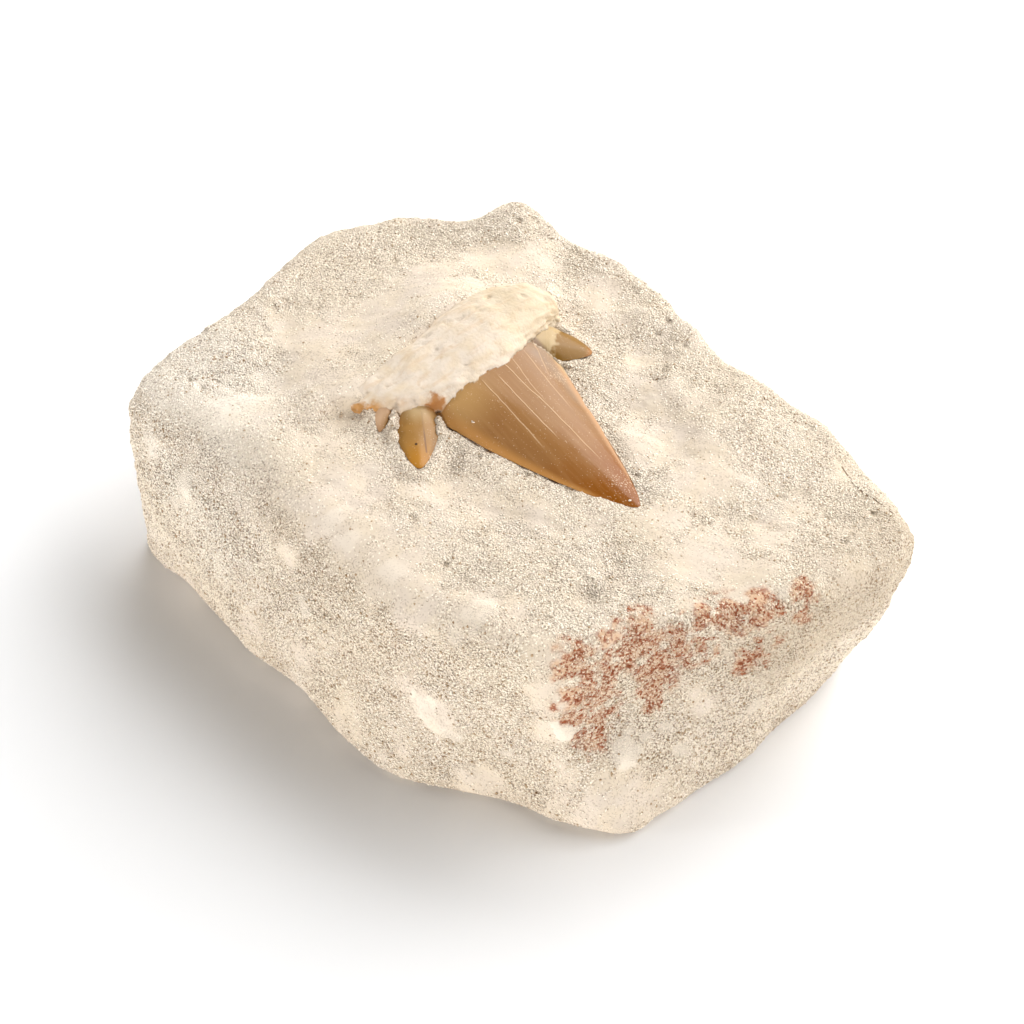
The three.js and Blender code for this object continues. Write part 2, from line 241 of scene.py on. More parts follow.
def inward(ring):
    """The direction into the block from each point of a ring in plan: the tangent turned left, then
    averaged with its neighbours, so that it turns slowly past a corner and the rings don't fold there."""
    tangent = np.roll(ring, -1, axis=0) - np.roll(ring, 1, axis=0)
    normal = np.stack([-tangent[:, 1], tangent[:, 0]], axis=1)
    smoothed = sum(np.roll(normal, k, axis=0) for k in range(-CORNER_REACH, CORNER_REACH + 1))
    return smoothed / np.linalg.norm(smoothed, axis=1, keepdims=True)


def standing(plan, z):
    """Points in space from points in plan and their heights."""
    return np.column_stack([plan, np.broadcast_to(z, len(plan))])


foot_plan = side_at(place, np.full(len(place), FOOT_ROUND))
rings = []
for turn in np.linspace(np.pi / 2, 0, FOOT_ROWS, endpoint=False):
    worn = foot_plan + inward(foot_plan) * FOOT_ROUND * (1 - np.cos(turn))
    rings.append(standing(worn, FOOT_ROUND * (1 - np.sin(turn))))
for share in np.linspace(0, 1, SIDE_ROWS, endpoint=False):
    z = FOOT_ROUND + (rim_level - FOOT_ROUND) * share
    rings.append(standing(side_at(place, z), z))
upper_plan = side_at(place, rim_level)
for turn in np.linspace(0, np.pi / 2, RIM_ROWS + 1):
    worn = upper_plan + inward(upper_plan) * (rim_round * (1 - np.cos(turn)))[:, None]
    rings.append(standing(worn, top_height(worn) - rim_round * (1 - np.sin(turn))))
underside = [rings[0] * [share, share, 1] for share in UNDERSIDE_SHARES]
rings = np.array(underside + rings)

frame_ring = rings[-1][:, :2]
ends = np.cumsum([0] + sides)
right, back, left, front = (
    np.take(frame_ring, range(ends[k], ends[k + 1] + 1), axis=0, mode="wrap") for k in range(4)
)
back, left = back[::-1], left[::-1]  # so that opposite sides run the same way
s, t = np.meshgrid(np.linspace(0, 1, CELLS_LONG + 1), np.linspace(0, 1, CELLS_WIDE + 1), indexing="ij")
s, t = s[..., None], t[..., None]
ruled = s * right[None, :] + (1 - s) * left[None, :] + t * back[:, None] + (1 - t) * front[:, None]
bilinear = s * ((1 - t) * right[0] + t * right[-1]) + (1 - s) * ((1 - t) * left[0] + t * left[-1])
top_plan = (ruled - bilinear)[1:-1, 1:-1].reshape(-1, 2)
top = standing(top_plan, top_height(top_plan))

block_points = np.concatenate([[[0, 0, 0]], rings.reshape(-1, 3), top])
ring_ids = 1 + np.arange(rings.shape[0] * rings.shape[1]).reshape(rings.shape[:2])
patch_ids = np.zeros((CELLS_LONG + 1, CELLS_WIDE + 1), int)
last = np.append(ring_ids[-1], ring_ids[-1][0])
patch_ids[-1, :] = last[ends[0] : ends[1] + 1]
patch_ids[:, -1] = last[ends[1] : ends[2] + 1][::-1]
patch_ids[0, :] = last[ends[2] : ends[3] + 1][::-1]
patch_ids[:, 0] = last[ends[3] : ends[4] + 1]
patch_ids[1:-1, 1:-1] = 1 + ring_ids.size + np.arange(len(top)).reshape(CELLS_LONG - 1, CELLS_WIDE - 1)


def quads(ids):
    """The four corners of each cell of a grid of ids, anticlockwise where its first index runs right."""
    return np.stack([ids[:-1, :-1], ids[1:, :-1], ids[1:, 1:], ids[:-1, 1:]], axis=-1).reshape(-1, 4)


wrapped = np.concatenate([ring_ids, ring_ids[:, :1]], axis=1)
fan = np.stack([np.roll(ring_ids[0], -1), ring_ids[0], np.zeros(len(place), int)], axis=1)
block_quads = np.concatenate([quads(wrapped.T), quads(patch_ids)])
print("block points:", len(block_points), "cells:", len(block_quads))

# %% [markdown]
# ## Facets and knobs
#
# The block was split along planes, so its skin has facets. Noise alone would give soft lumps instead, but
# zigzag waves in many directions add up to flat faces that meet in blunt creases. Knobs are bell curves,
# which push single places out or in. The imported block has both, and they are the same here. A height
# moves a point along the skin's own normal, so that it works on the sides as well as on the top.

# %% Facets and knobs
GOLDEN_TURN = np.pi * (3 - np.sqrt(5))
WAVES, LONGEST, FALL, WAVE_HEIGHT = 18, 34, 0.92, 0.34
WARP_REACH, WARP_LENGTH = 2.6, 7


def normals(points, faces):
    """The unit normal at each point: the sum of the normals of the triangles that meet there."""
    corners = points[faces]
    normal = np.cross(corners[:, 1] - corners[:, 0], corners[:, 2] - corners[:, 0])
    total = np.stack([
        np.bincount(faces.ravel(), np.repeat(normal[:, axis], 3), len(points)) for axis in range(3)
    ], axis=1)
    return total / np.maximum(np.linalg.norm(total, axis=1, keepdims=True), 1e-12)


def triangles(cells):
    """Each cell of four corners as two triangles."""
    return np.concatenate([cells[:, [0, 1, 2]], cells[:, [0, 2, 3]]])


def facets(points):
    """A sum of zigzag waves, 2 asin(sin a) / pi, each shorter and lower than the last, along directions
    that turn by the golden angle, at points that sine waves have shifted."""
    x, y, z = (
        points[:, i] + WARP_REACH * np.sin(points[:, (i + 1) % 3] / WARP_LENGTH + i + 1) for i in range(3)
    )
    total = np.zeros(len(points))
    for i in range(WAVES):
        up = 1 - (2 * i + 1) / WAVES
        level = np.sqrt(1 - up * up)
        along = level * (np.cos(i * GOLDEN_TURN) * x + np.sin(i * GOLDEN_TURN) * y) + up * z
        angle = 2 * np.pi * along / (LONGEST * FALL**i) + i * i
        total += WAVE_HEIGHT * FALL**i * 2 / np.pi * np.arcsin(np.sin(angle))
    return total


def knobs(points):
    """The sum of the bell curves, height exp(-d^2 / reach^2), about the knobs."""
    return sum(h * np.exp(-np.sum((points - [x, y, z]) ** 2, axis=1) / r**2) for x, y, z, r, h in KNOBS)


block_faces = np.concatenate([fan, triangles(block_quads)])
near_foot = np.minimum(1, block_points[:, 2] / FOOT_ROUND)
coarse_height = (facets(block_points) + knobs(block_points)) * near_foot
block_points = block_points + normals(block_points, block_faces) * coarse_height[:, None]
print("facets and knobs reach from", coarse_height.min().round(2), "to", coarse_height.max().round(2), "mm")

# %% [markdown]
# ## What kind of skin is where
#
# This stone shows four skins. Most of it is bare sandstone, all grains. Where it was scraped or has
# weathered it is smooth and creamy, above all around the root, along the near rim and at the foot.
# Chalky white nodules of a few millimetres stick out of it. And iron has stained one band of the near end
# red. Each skin is a mask from 0 to 1: bell curves about the places where it lies, broken up with noise.
# The relief, the grains and the colours all read the same masks, so they agree with each other.

# %% The masks
SMOOTH_PLACES = np.array([  # middle x, y and z, reach, strength
    [-32, 12, 40, 7, 1], [-33, 2, 39, 8, 1], [-36, -9, 38, 8, 1], [-34, -17, 38, 6, 0.8],
    [-24, -13, 39, 6, 0.9], [-27, 34, 38, 5, 0.8], [-29, 26, 39, 6, 0.9], [-33, -29, 38, 6, 0.6],
    [-17, -26, 39, 5, 0.7], [-9, -27, 38, 5, 0.9], [-7, -35, 38, 5, 1], [0, -35, 37, 5, 1],
    [8, -35, 37, 5, 1], [15, -36, 37, 5, 1], [1, -19, 37, 5, 0.7], [9, -16, 37, 4, 0.6],
    [16, -10, 37, 4, 0.7], [23, -6, 37, 4, 0.6], [10, 19, 37, 5, 0.9], [19, 15, 38, 6, 1],
    [29, 13, 38, 6, 1], [4, 26, 37, 4, 0.5], [31, 1, 38, 6, 0.8], [40, 1, 37, 7, 1],
    [48, 2, 38, 6, 1], [45, 12, 37, 6, 0.9], [44, 19, 37, 4, 0.6], [59, 14, 37, 5, 0.9],
    [-13, 34, 37, 5, 0.5], [-46, -38, 29, 6, 0.6], [-46, -34, 37, 6, 0.5], [24, -33, 39, 5, 0.6],
    [31, -31, 39, 5, 0.6], [38, -31, 37, 4, 1], [39, -31, 29, 4, 1], [40, -31, 21, 3.5, 0.9],
    [22, -39, 19, 5, 1], [18, -40, 21, 4, 0.7], [49, -25, 6, 7, 1], [41, -31, 9, 5, 0.7],
    [17, -42, 9, 4, 0.8], [6, -43, 8, 4, 0.7], [-5, -43, 12, 4, 0.7], [-18, -42, 10, 4, 0.6],
    [29, -36, 6, 4, 0.7], [51, -18, 6, 5, 0.7], [-2, -38, 34, 3, 0.7], [-10, -40, 30, 3, 0.6],
    [-33, -41, 27, 3, 0.6], [50, -9, 20, 3, 0.7], [58, 9, 26, 4, 0.4], [-26, -3, 39, 5, 0.9],
    [-26, 8, 40, 5, 1], [-25, 17, 40, 5, 1], [-18, 25, 39, 5, 0.8], [43, 30.5, 37, 3, 0.9],
    [-22, -36, 35, 5, 0.6], [41, -21, 38, 3, 0.8], [44, -13, 38, 3, 0.7], [46, -8, 38, 3, 0.7],
])
GRAINY_PLACES = np.array([  # where the smooth skin is broken, in the same five numbers
    [-14, -15, 38, 3.5, 0.8], [-8, -7, 38, 3, 0.8], [14, -5, 38, 5, 0.6], [22, -3, 38, 4, 0.6],
    [25, 4, 38, 3, 0.7], [-2, 22, 37, 4, 0.6], [-48, 12, 37, 7, 0.4], [-34, 35, 40, 4, 0.8],
    [31, -12, 37, 6, 0.4], [17, -24, 38, 7, 0.3], [30, 25, 38, 6, 0.4], [-27, -38, 33, 7, 0.6],
    [-46, -20, 38, 7, 0.3],
])
CHALK_PLACES = np.array([  # middle x, y and z, reach
    [54.7, 19.3, 37.1, 1.7], [46.5, -20.9, 14.9, 2.9], [40.3, -29.6, 21.3, 2.3],
    [-34.7, -39.4, 27.4, 2.1], [-5.1, -34.2, 37.7, 2.1], [-0.8, -34.7, 36.9, 1.7],
    [9, -34.2, 37.8, 2.1], [26.1, -32.6, 38, 2.7], [24.3, -35.7, 35.5, 1.7], [-4.2, -41.4, 24.3, 1.7],
    [20.8, -39.1, 18.4, 2.7], [22.4, -38.6, 15.3, 2.3], [25.7, -37.5, 15.7, 1.7], [53.9, -1.2, 15.1, 1.6],
    [48.2, -14.7, 16.4, 1.2], [50.2, -13.3, 11.5, 1.3], [54.4, 3.8, 36.8, 1.5], [-4, 34.2, 37.3, 1.6],
])
STAIN_PLACES = np.array([  # middle x, y and z, reach, strength
    [39.5, -26.5, 36.5, 2.6, 0.8], [40, -28, 34, 2.4, 1], [40.7, -28, 28.5, 2.6, 1],
    [41.3, -27.6, 23.5, 2.6, 1], [43, -25.5, 18.5, 2.8, 1], [42.8, -23.5, 21.5, 2.8, 0.8],
    [42, -24, 30, 3.6, 0.75], [42.3, -24.5, 26, 3.2, 0.8], [41.8, -19.5, 36.8, 2.6, 0.8],
    [43, -16.5, 37, 2.6, 1], [43, -19.5, 33, 3.2, 0.8], [44.3, -16, 33.5, 3.2, 1],
    [45.7, -14.2, 29, 3.2, 1], [46.2, -15, 23, 2.6, 0.9], [47, -11.5, 33, 3.2, 0.9],
    [49, -9, 30, 2.6, 0.65], [48.5, -8, 36.5, 2.4, 0.9], [50.8, -4.5, 36, 3.2, 1],
    [53.5, -1, 35.8, 3, 1], [53.5, -2.2, 26, 2.6, 0.85], [54.8, 0, 31.5, 2.6, 0.5],
    [56.2, 6, 36.5, 2.2, 0.7], [57.3, 5, 33.5, 1.6, 0.5],
])
CHALK_SPACING = 12  # of the nodules that lie scattered over the rest of the block


def strongest(points, places):
    """The strongest of the bell curves, strength exp(-d^2 / reach^2), about the places."""
    return np.max([
        row[4] * np.exp(-np.sum((points - row[:3]) ** 2, axis=1) / row[3] ** 2) for row in places
    ], axis=0)


def smooth_mask(points):
    """Bell curves about the places, with a chance for each chip of a few millimetres, so that the patches
    have angular outlines, and with noise that frays them."""
    _, chance = pebbles(points + 0.5 * swells(points, 2, 10)[:, None], 4.5, 12)
    field = strongest(points, SMOOTH_PLACES) - strongest(points, GRAINY_PLACES)
    field += 0.2 * rise(np.linalg.norm(points[:, :2], axis=1), 56, 30) * rise(points[:, 2], 33, 36)
    field += 0.4 * rise(points[:, 2], 8, 3) * (points[:, 1] < -25)
    field += 0.24 * lumps(points, 9, 2, 11) + 0.26 * (chance - 0.5) + 0.22 * lumps(points, 2.2, 3, 13)
    return rise(field, 0.05, 0.85)


def chalk_mask(points):
    """1 within about one reach of a nodule, with a wobbly outline: the nodules at the places, and some
    strewn ones, 1 to 1.8 mm in radius, which half of the scattered points carry."""
    wobble = 0.5 * lumps(points, 1.8, 2, 17)
    placed = np.min([np.linalg.norm(points - row[:3], axis=1) / row[3] for row in CHALK_PLACES], axis=0)
    distance, chance = pebbles(points, CHALK_SPACING, 19)
    strewn = distance * CHALK_SPACING / (1 + 1.6 * chance) + FAR_OFF * (chance > 0.5)
    return rise(np.minimum(placed, strewn) + wobble, 1.08, 0.84)


def stain_mask(points):
    """Bell curves about the places, frayed by noise where they aren't zero."""
    field = strongest(points, STAIN_PLACES)
    return rise(field + 0.55 * lumps(points, 1.7, 3, 23) * rise(field, 0, 0.2), 0.08, 0.7)


def skin_masks(points):
    """The three masks at once. What none of them covers is bare sandstone."""
    return {"smooth": smooth_mask(points), "chalk": chalk_mask(points), "stain": stain_mask(points)}


masks = skin_masks(block_points)
print({name: f"{mask.mean():.0%} of the points" for name, mask in masks.items()})

# %% [markdown]
# ## The tooth's form
#
# A tooth of this kind has a broad triangular crown with a small cusplet at each side of its base, and a
# tiny denticle outside the near one. They are blades: a profile that narrows to a point, flat on its
# belly and swollen on its face, carried along the blade's axis. The root is a thick bar with two lobes,
# lofted through stations across it. Each is a grid of two parameters, along and round. As separate closed
# shells they are then united by a boolean, since the real tooth is one piece.

# %% The shells of the tooth
TOOTH_POSE = np.array([-7.6, 4.2, 38.3]), -5.2, 0.6  # the place of the neck, yaw and pitch
CROWN = dict(length=34.5, half=12.2, taper=0.7, rise=4.7, belly=2.4, bow=-0.5, seat=7, waist=0)
CUSPLET = dict(taper=0.62, rise=1.7, belly=1.4, bow=0, seat=4)
CUSPLETS = [  # form, place in the tooth's own frame, yaw and pitch
    (CUSPLET | dict(length=11.9, half=5, waist=0.34), (-3.5, -13.9, 0.6), -36, 4.5),
    (CUSPLET | dict(length=7.2, half=4.4, waist=0.1), (-1.8, 12.6, 0.9), 42, 8),
    (CUSPLET | dict(length=4.1, half=1.7, rise=1, waist=0.2), (-6.6, -17.9, 0.9), -50, 13),
]
ROOT = np.array([  # across, front, back, top
    [-23.5, -12, -13, 0.6], [-20, -9, -13.4, 2], [-16, -4.3, -13.8, 3.6], [-11, -0.8, -14.2, 5],
    [-4, 1.2, -15.2, 6.5], [3, 1.5, -16.6, 7.1], [9, -0.6, -16.8, 6.8], [14.5, -2.2, -15.8, 6.2],
    [18, -3.6, -13, 4.8], [19.6, -8, -11, 3],
])
ROOT_BOTTOM, ROOT_SQUARENESS = -5, 2.7


def turned(yaw, pitch):
    """The matrix of a pitch about Y followed by a yaw about Z, in degrees."""
    (cy, sy), (cp, sp) = ((np.cos(a), np.sin(a)) for a in np.radians([yaw, pitch]))
    yawed = np.array([[cy, -sy, 0], [sy, cy, 0], [0, 0, 1]])
    return yawed @ np.array([[cp, 0, sp], [0, 1, 0], [-sp, 0, cp]])


def posed(points, at, yaw, pitch):
    """Points turned and then moved to their place."""
    return points @ turned(yaw, pitch).T + at


def unposed(points, at, yaw, pitch):
    """Points moved and turned back again."""
    return (points - at) @ turned(yaw, pitch)


def on_tooth(points):
    """From the block's axes to the tooth's own: x towards the tip, y across, z up."""
    return unposed(points, *TOOTH_POSE)


def half_width(shape, along):
    """half (1 - l)^taper (1 - waist exp(-(l / 0.3)^2)) at a share l of the length."""
    pinched = 1 - shape["waist"] * np.exp(-(along / 0.3) ** 2)
    return shape["half"] * (1 - along) ** shape["taper"] * pinched


def blade(shape, rings, sides):
    """Rings from the seat to the tip, as wide as half_width says.
    The face stands rise (1 - l)^0.8 (1 - |a|^r) high over a share a of the half-width, where r falls from
    3.2 to 1.6 along the blade, and the belly is a parabola."""
    share = np.linspace(0, 1, rings, endpoint=False)[:, None]
    angle = np.arange(sides) / sides
    x = -shape["seat"] + (shape["length"] + shape["seat"]) * (1 - (1 - share) ** 1.25)
    along = np.maximum(0, x) / shape["length"]
    across, up = np.cos(2 * np.pi * angle), np.sin(2 * np.pi * angle)
    roundness = 1.6 + 1.6 * (1 - along) ** 3
    face = shape["rise"] * (1 - np.abs(across) ** roundness)
    belly = -shape["belly"] * (1 - across**2)
    y = half_width(shape, along) * across + shape["bow"] * np.sin(np.pi * along)
    z = (1 - along) ** 0.8 * np.where(up >= 0, face, belly)
    return np.stack([np.broadcast_to(x, y.shape), y, z], axis=-1)


def root(rings, sides):
    """Rings from lobe to lobe: a curve through the stations gives each ring's front, back and top, and
    its section is a superellipse, cos and sin to the power 2 / squareness."""
    share = 0.5 - 0.5 * np.cos(np.linspace(0, np.pi, rings))
    padded = np.concatenate([2 * ROOT[:1] - ROOT[1:2], ROOT, 2 * ROOT[-1:] - ROOT[-2:-1]])
    place = 1 + share * (len(ROOT) - 1)
    across, front, back, top = around(padded, np.minimum(place, len(ROOT) - 1e-6)).T
    angle = -2 * np.pi * np.arange(sides) / sides
    c, s = (np.sign(v) * np.abs(v) ** (2 / ROOT_SQUARENESS) for v in (np.cos(angle), np.sin(angle)))
    x = (front + back)[:, None] / 2 + (front - back)[:, None] / 2 * c
    z = (top + ROOT_BOTTOM)[:, None] / 2 + (top - ROOT_BOTTOM)[:, None] / 2 * s
    return np.stack([x, np.broadcast_to(across[:, None], x.shape), z], axis=-1)


def closed(rings):
    """The points and triangles of a skin over rings, with a point at the middle of each end."""
    count, sides = rings.shape[:2]
    ids = 1 + np.arange(count * sides).reshape(count, sides)
    ids = np.concatenate([ids, ids[:, :1]], axis=1)
    last_point = count * sides + 1
    start = np.stack([np.zeros(sides, int), ids[0, 1:], ids[0, :-1]], axis=1)
    end = np.stack([np.full(sides, last_point), ids[-1, :-1], ids[-1, 1:]], axis=1)
    points = np.concatenate([[rings[0].mean(axis=0)], rings.reshape(-1, 3), [rings[-1].mean(axis=0)]])
    return points, np.concatenate([start, triangles(quads(ids.T)), end])


def seated(points, at, yaw, pitch):
    """From a blade's own axes to the block's."""
    return posed(posed(points, at, yaw, pitch), *TOOTH_POSE)


def shares(shape, points):
    """Where points lie on a blade: their share of its length, and of its half-width at that length."""
    along = np.clip(points[:, 0] / shape["length"], 0, 0.999)
    middle = shape["bow"] * np.sin(np.pi * along)
    return along, np.abs(points[:, 1] - middle) / half_width(shape, along)


BLADES = [(CROWN, (0, 0, 0), 0, 0)] + CUSPLETS


def shells(fineness, enamel_height, root_height):
    """The closed shells of the root and the blades, with a height along their normals. Each comes with
    its points, its triangles and three numbers for each point: whether it is enamel, and its shares."""
    points, faces = closed(root(round(150 * fineness), round(170 * fineness)))
    normal = normals(points, faces)
    points = points + normal * root_height(points, normal)[:, None]
    made = [(posed(points, *TOOTH_POSE), faces, np.zeros((len(points), 3)))]
    for shape, at, yaw, pitch in BLADES:
        detail = fineness * (1 if shape is CROWN else 0.45)
        points, faces = closed(blade(shape, round(130 * detail), round(150 * detail)))
        along, rim = shares(shape, points)
        points = points + normals(points, faces) * enamel_height(points + at)[:, None]
        notes = np.stack([np.ones_like(along), along, rim], axis=1)
        made.append((seated(points, at, yaw, pitch), faces, notes))
    return made


print("blades, by length:", [shape["length"] for shape, *_ in BLADES], "root stations:", len(ROOT))

# %% [markdown]
# ## The fine relief of the stone
#
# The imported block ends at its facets, and all that is finer is new here. Lumps of a few millimetres stand
# on the sides and stay low on the top, which was worked flat around the tooth, with long shallow scrapes
# where the tool went. Small pits are where bits have fallen out. A Displace modifier could do this from a
# texture, but then the grains and the colours couldn't read the same numbers. So the relief is one height
# for each point, worked out from the masks and the noise.

# %% The fine relief of the stone
SCRAPE_TURN = np.radians(28)  # the way the tool went over the top
SCRAPE_LONG, SCRAPE_WIDE = 16, 1.5
PIT_SPACING = 3.1


def scrapes(points):
    """Long, narrow swells: noise at points whose plan is turned and then squeezed across the stroke."""
    c, s = np.cos(SCRAPE_TURN), np.sin(SCRAPE_TURN)
    along = (c * points[:, 0] + s * points[:, 1]) / SCRAPE_LONG
    across = (c * points[:, 1] - s * points[:, 0]) / SCRAPE_WIDE
    return swells(np.column_stack([along, across, points[:, 2] / SCRAPE_LONG]), 1, 29)


def fine_height(points, normal, smooth, chalk):
    """Lumps of 6 mm and nodules of 3.5 mm on the sides, low swells and scrapes on the top, chalk standing
    proud, pits, and a quick roughness wherever the skin isn't smooth."""
    steep = 1 - rise(normal[:, 2], 0.45, 0.9)
    nodule, _ = pebbles(points, 3.6, 31)
    pit, chance = pebbles(points, PIT_SPACING, 37)
    height = steep * (0.34 * lumps(points, 6.5, 3, 41) + 0.4 * (0.55 - nodule) * (1 - 0.6 * smooth))
    height += (1 - steep) * (0.2 * lumps(points, 5.5, 3, 43) + 0.14 * smooth * np.minimum(0, scrapes(points)))
    height += 0.1 * chalk * (1 - 0.3 * swells(points, 1.1, 47))
    height -= 0.45 * rise(pit, 0.3, 0.12) * (chance > 0.62) * (1 - smooth)
    height += (1 - smooth) * (1 - chalk) * 0.16 * lumps(points, 1.3, 2, 53)
    return height - 0.25 * steep


# %% [markdown]
# ## The stone against the tooth
#
# The rock doesn't end in a clean line where the tooth was freed from it. It climbs the back of the root in
# a soft fillet and rises in a bank to the edges of the blades, and sand is heaped in the corners between
# them. Modelled by hand this would be lost with every change of the tooth. Here each is a curve over a
# distance in plan, to the root's outline, to a blade's edge or to the middle of a heap, so it follows.

# %% The stone against the tooth
TOOTH_ABOVE = 30  # the height above which the stone can be near the tooth
FILLET, FILLET_REACH = 2.3, 4  # how high and how far off the stone climbs the root
BANK_REACH, BANK_FULL = 3.4, 0.3  # how far off a blade's edge the bank starts, and where it is full
BANK_BELOW = 0.15  # how far it stays below the edge
HEAPS = [  # along and across the tooth, reach, height
    (-3.6, -18.6, 1.2, 1.9), (-4.5, -17.6, 1.1, 2), (-1.9, -20, 1, 1.1), (0.2, -12.3, 1, 1.2),
    (1.8, -13.2, 1.2, 0.8), (3.8, -12.6, 1.4, 0.5), (-0.2, 12.3, 1.1, 1.5), (1.2, 11.5, 1, 1),
    (-3.6, 17.2, 1.6, 1.1),
]


def beside_tooth(points):
    """The distance in plan to the outline of the nearest blade, or FAR_OFF, and the height of that
    outline there. An outline is a ring with only two points, so the blade's two edges."""
    nearest, height = np.full(len(points), FAR_OFF), np.zeros(len(points))
    for shape, at, yaw, pitch in BLADES:
        for edge in seated(blade(shape, 40, 2)[6:].reshape(-1, 3), at, yaw, pitch):
            distance = np.linalg.norm(points[:, :2] - edge[:2], axis=1)
            height = np.where(distance < nearest, edge[2], height)
            nearest = np.minimum(nearest, distance)
    return np.where(points[:, 2] > TOOTH_ABOVE, nearest, FAR_OFF), height


def root_outline(across):
    """Where the root's front and its back lie, interpolated between its stations."""
    return np.interp(across, ROOT[:, 0], ROOT[:, 1]), np.interp(across, ROOT[:, 0], ROOT[:, 2])


def behind_root(points):
    """How far points lie behind the root or beyond its lobes, in plan, and 1 for those behind its front
    lip, falling to 0 before it."""
    along, across, _ = on_tooth(points).T
    front, back = root_outline(across)
    beyond = np.maximum(across - ROOT[-1, 0], ROOT[0, 0] - across)
    away = np.maximum(np.maximum(back - along, beyond), 0)
    return away, rise(along - front, 0.5, -2.5) * (points[:, 2] > TOOTH_ABOVE)


def heaped(points):
    """How high sand is heaped up against the tooth: the highest of the flat-topped bells, height
    exp(-(d / reach)^4), made uneven."""
    height = np.zeros(len(points))
    for along, across, reach, high in HEAPS:
        at = posed(np.array([[along, across, 0.0]]), *TOOTH_POSE)[0]
        away = np.linalg.norm(points[:, :2] - at[:2], axis=1) / reach
        height = np.maximum(height, high * np.exp(-(away ** 4)))
    return height * (points[:, 2] > TOOTH_ABOVE) * (1 + 0.3 * swells(points, 1, 98))


# %% [markdown]
# ## The stone gets its relief
#
# Now the points move. Two nudges come first, because the upper edge of the right-hand end is rounder than
# the stations say. Next the stone rises straight up against the tooth. The fine relief is last, because it
# runs along normals that must already know about the fillet, the banks and the heaps.

# %% The stone gets its relief
NUDGES = [  # middle x and y, reach, shift in x and y
    (51, 30.5, 6, 0.5, 1.7), (62.5, 27.5, 4.5, -1.2, -1.1),
]

for x, y, reach, shift_x, shift_y in NUDGES:
    bell = np.exp(-np.sum((block_points[:, :2] - [x, y]) ** 2, axis=1) / reach**2)
    block_points[:, :2] += (bell * rise(block_points[:, 2], 5, 25))[:, None] * [shift_x, shift_y]

near_foot = rise(block_points[:, 2], 0, FOOT_ROUND)
away, behind = behind_root(block_points)
block_points[:, 2] += FILLET * behind * np.exp(-(away / FILLET_REACH) ** 2)
near_blade, edge_height = beside_tooth(block_points)
bank = rise(near_blade, BANK_REACH, BANK_FULL) * (edge_height - BANK_BELOW - block_points[:, 2])
block_points[:, 2] += bank + heaped(block_points)
block_normals = normals(block_points, block_faces)
height = fine_height(block_points, block_normals, masks["smooth"], masks["chalk"]) * near_foot
block_points = block_points + block_normals * height[:, None]
print("the fine relief reaches from", height.min().round(2), "to", height.max().round(2), "mm")

# %% [markdown]
# ## Room for the grains
#
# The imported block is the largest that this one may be, and the grains still come on top of the skin.
# Points that stick out could be clipped, but that shaves flat spots on the bulges. Instead the whole block
# is scaled a little, in x and then in y, from where it reaches now to where it may reach.

# %% Room for the grains
GRAIN_ROOM = 0.4
packed_low, packed_high = (np.array(corner) / MM + FOOTPRINT_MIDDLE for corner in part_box("matrix_block"))
for axis in (0, 1):
    low, high = block_points[:, axis].min(), block_points[:, axis].max()
    room_low, room_high = packed_low[axis] + GRAIN_ROOM, packed_high[axis] - GRAIN_ROOM
    block_points[:, axis] = room_low + (block_points[:, axis] - low) * (room_high - room_low) / (high - low)
print("the block reaches from", block_points.min(axis=0).round(1), "to", block_points.max(axis=0).round(1))

# %% [markdown]
# ## The tooth's relief
#
# The enamel is smooth, so the crown gets only a faint unevenness and a slightly nicked edge. The root is
# porous, weathered dentine. It has soft ridges that run along its front lip, small pits, and a ragged lip
# where it overhangs the enamel. Here too each height moves a point along the skin's own normal.

# %% The relief of the tooth
def enamel_height(points):
    """Low swells, and fine ones that are long along the blade."""
    return 0.07 * lumps(points, 5, 2, 61) + 0.02 * swells(points * [0.35, 2.2, 1], 1.6, 63)


def root_height(points, normal):
    """Lumps, ridges that are long across the tooth, a notched lip that is worn back over the crown, and
    pits."""
    lip = rise(normal[:, 0], 0.2, 0.75)
    ridges = lumps(points * [1, 0.16, 1], 1.4, 3, 67)
    pit, chance = pebbles(points, 1.9, 71)
    height = 0.36 * lumps(points, 4.6, 3, 73) + (0.26 + 0.2 * lip) * ridges
    height += 0.4 * lip * lumps(points, 1.5, 2, 79) - 0.4 * rise(pit, 0.34, 0.14) * (chance > 0.7)
    worn = 1.4 * rise(points[:, 1], 2, 9) - 0.6 * rise(points[:, 1], -12, -14)
    buried = 1.6 * rise(points[:, 1], -20.5, -23)
    return height * rise(points[:, 1], -23.5, -20) - 0.2 - buried - worn * rise(normal[:, 0], 0, 0.7)


tooth_shells = shells(1, enamel_height, root_height)
print("shells:", [len(faces) for _, faces, _ in tooth_shells], "triangles")

# %% [markdown]
# ## From arrays to meshes, and back
#
# So far everything is an array. Blender can take a mesh from Python lists, but it is far quicker to copy
# whole arrays with foreach_set, and foreach_get copies them back after a boolean. What the materials need
# to know about a point travels with it as an attribute, here called a note.

# %% From arrays to meshes, and back
def skin_object(name, points, faces):
    """A mesh object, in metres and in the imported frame, from points in millimetres about the plan's own
    origin."""
    mesh = bpy.data.meshes.new(name)
    faces = np.asarray(faces)
    mesh.vertices.add(len(points))
    mesh.vertices.foreach_set("co", ((points - FOOTPRINT_MIDDLE) * MM).astype(np.float32).ravel())
    mesh.loops.add(faces.size)
    mesh.loops.foreach_set("vertex_index", faces.astype(np.int32).ravel())
    mesh.polygons.add(len(faces))
    mesh.polygons.foreach_set("loop_start", np.arange(0, faces.size, faces.shape[1], dtype=np.int32))
    mesh.polygons.foreach_set("use_smooth", np.ones(len(faces), bool))
    mesh.update(calc_edges=True)
    thing = bpy.data.objects.new(name, mesh)
    bpy.context.scene.collection.objects.link(thing)
    return thing


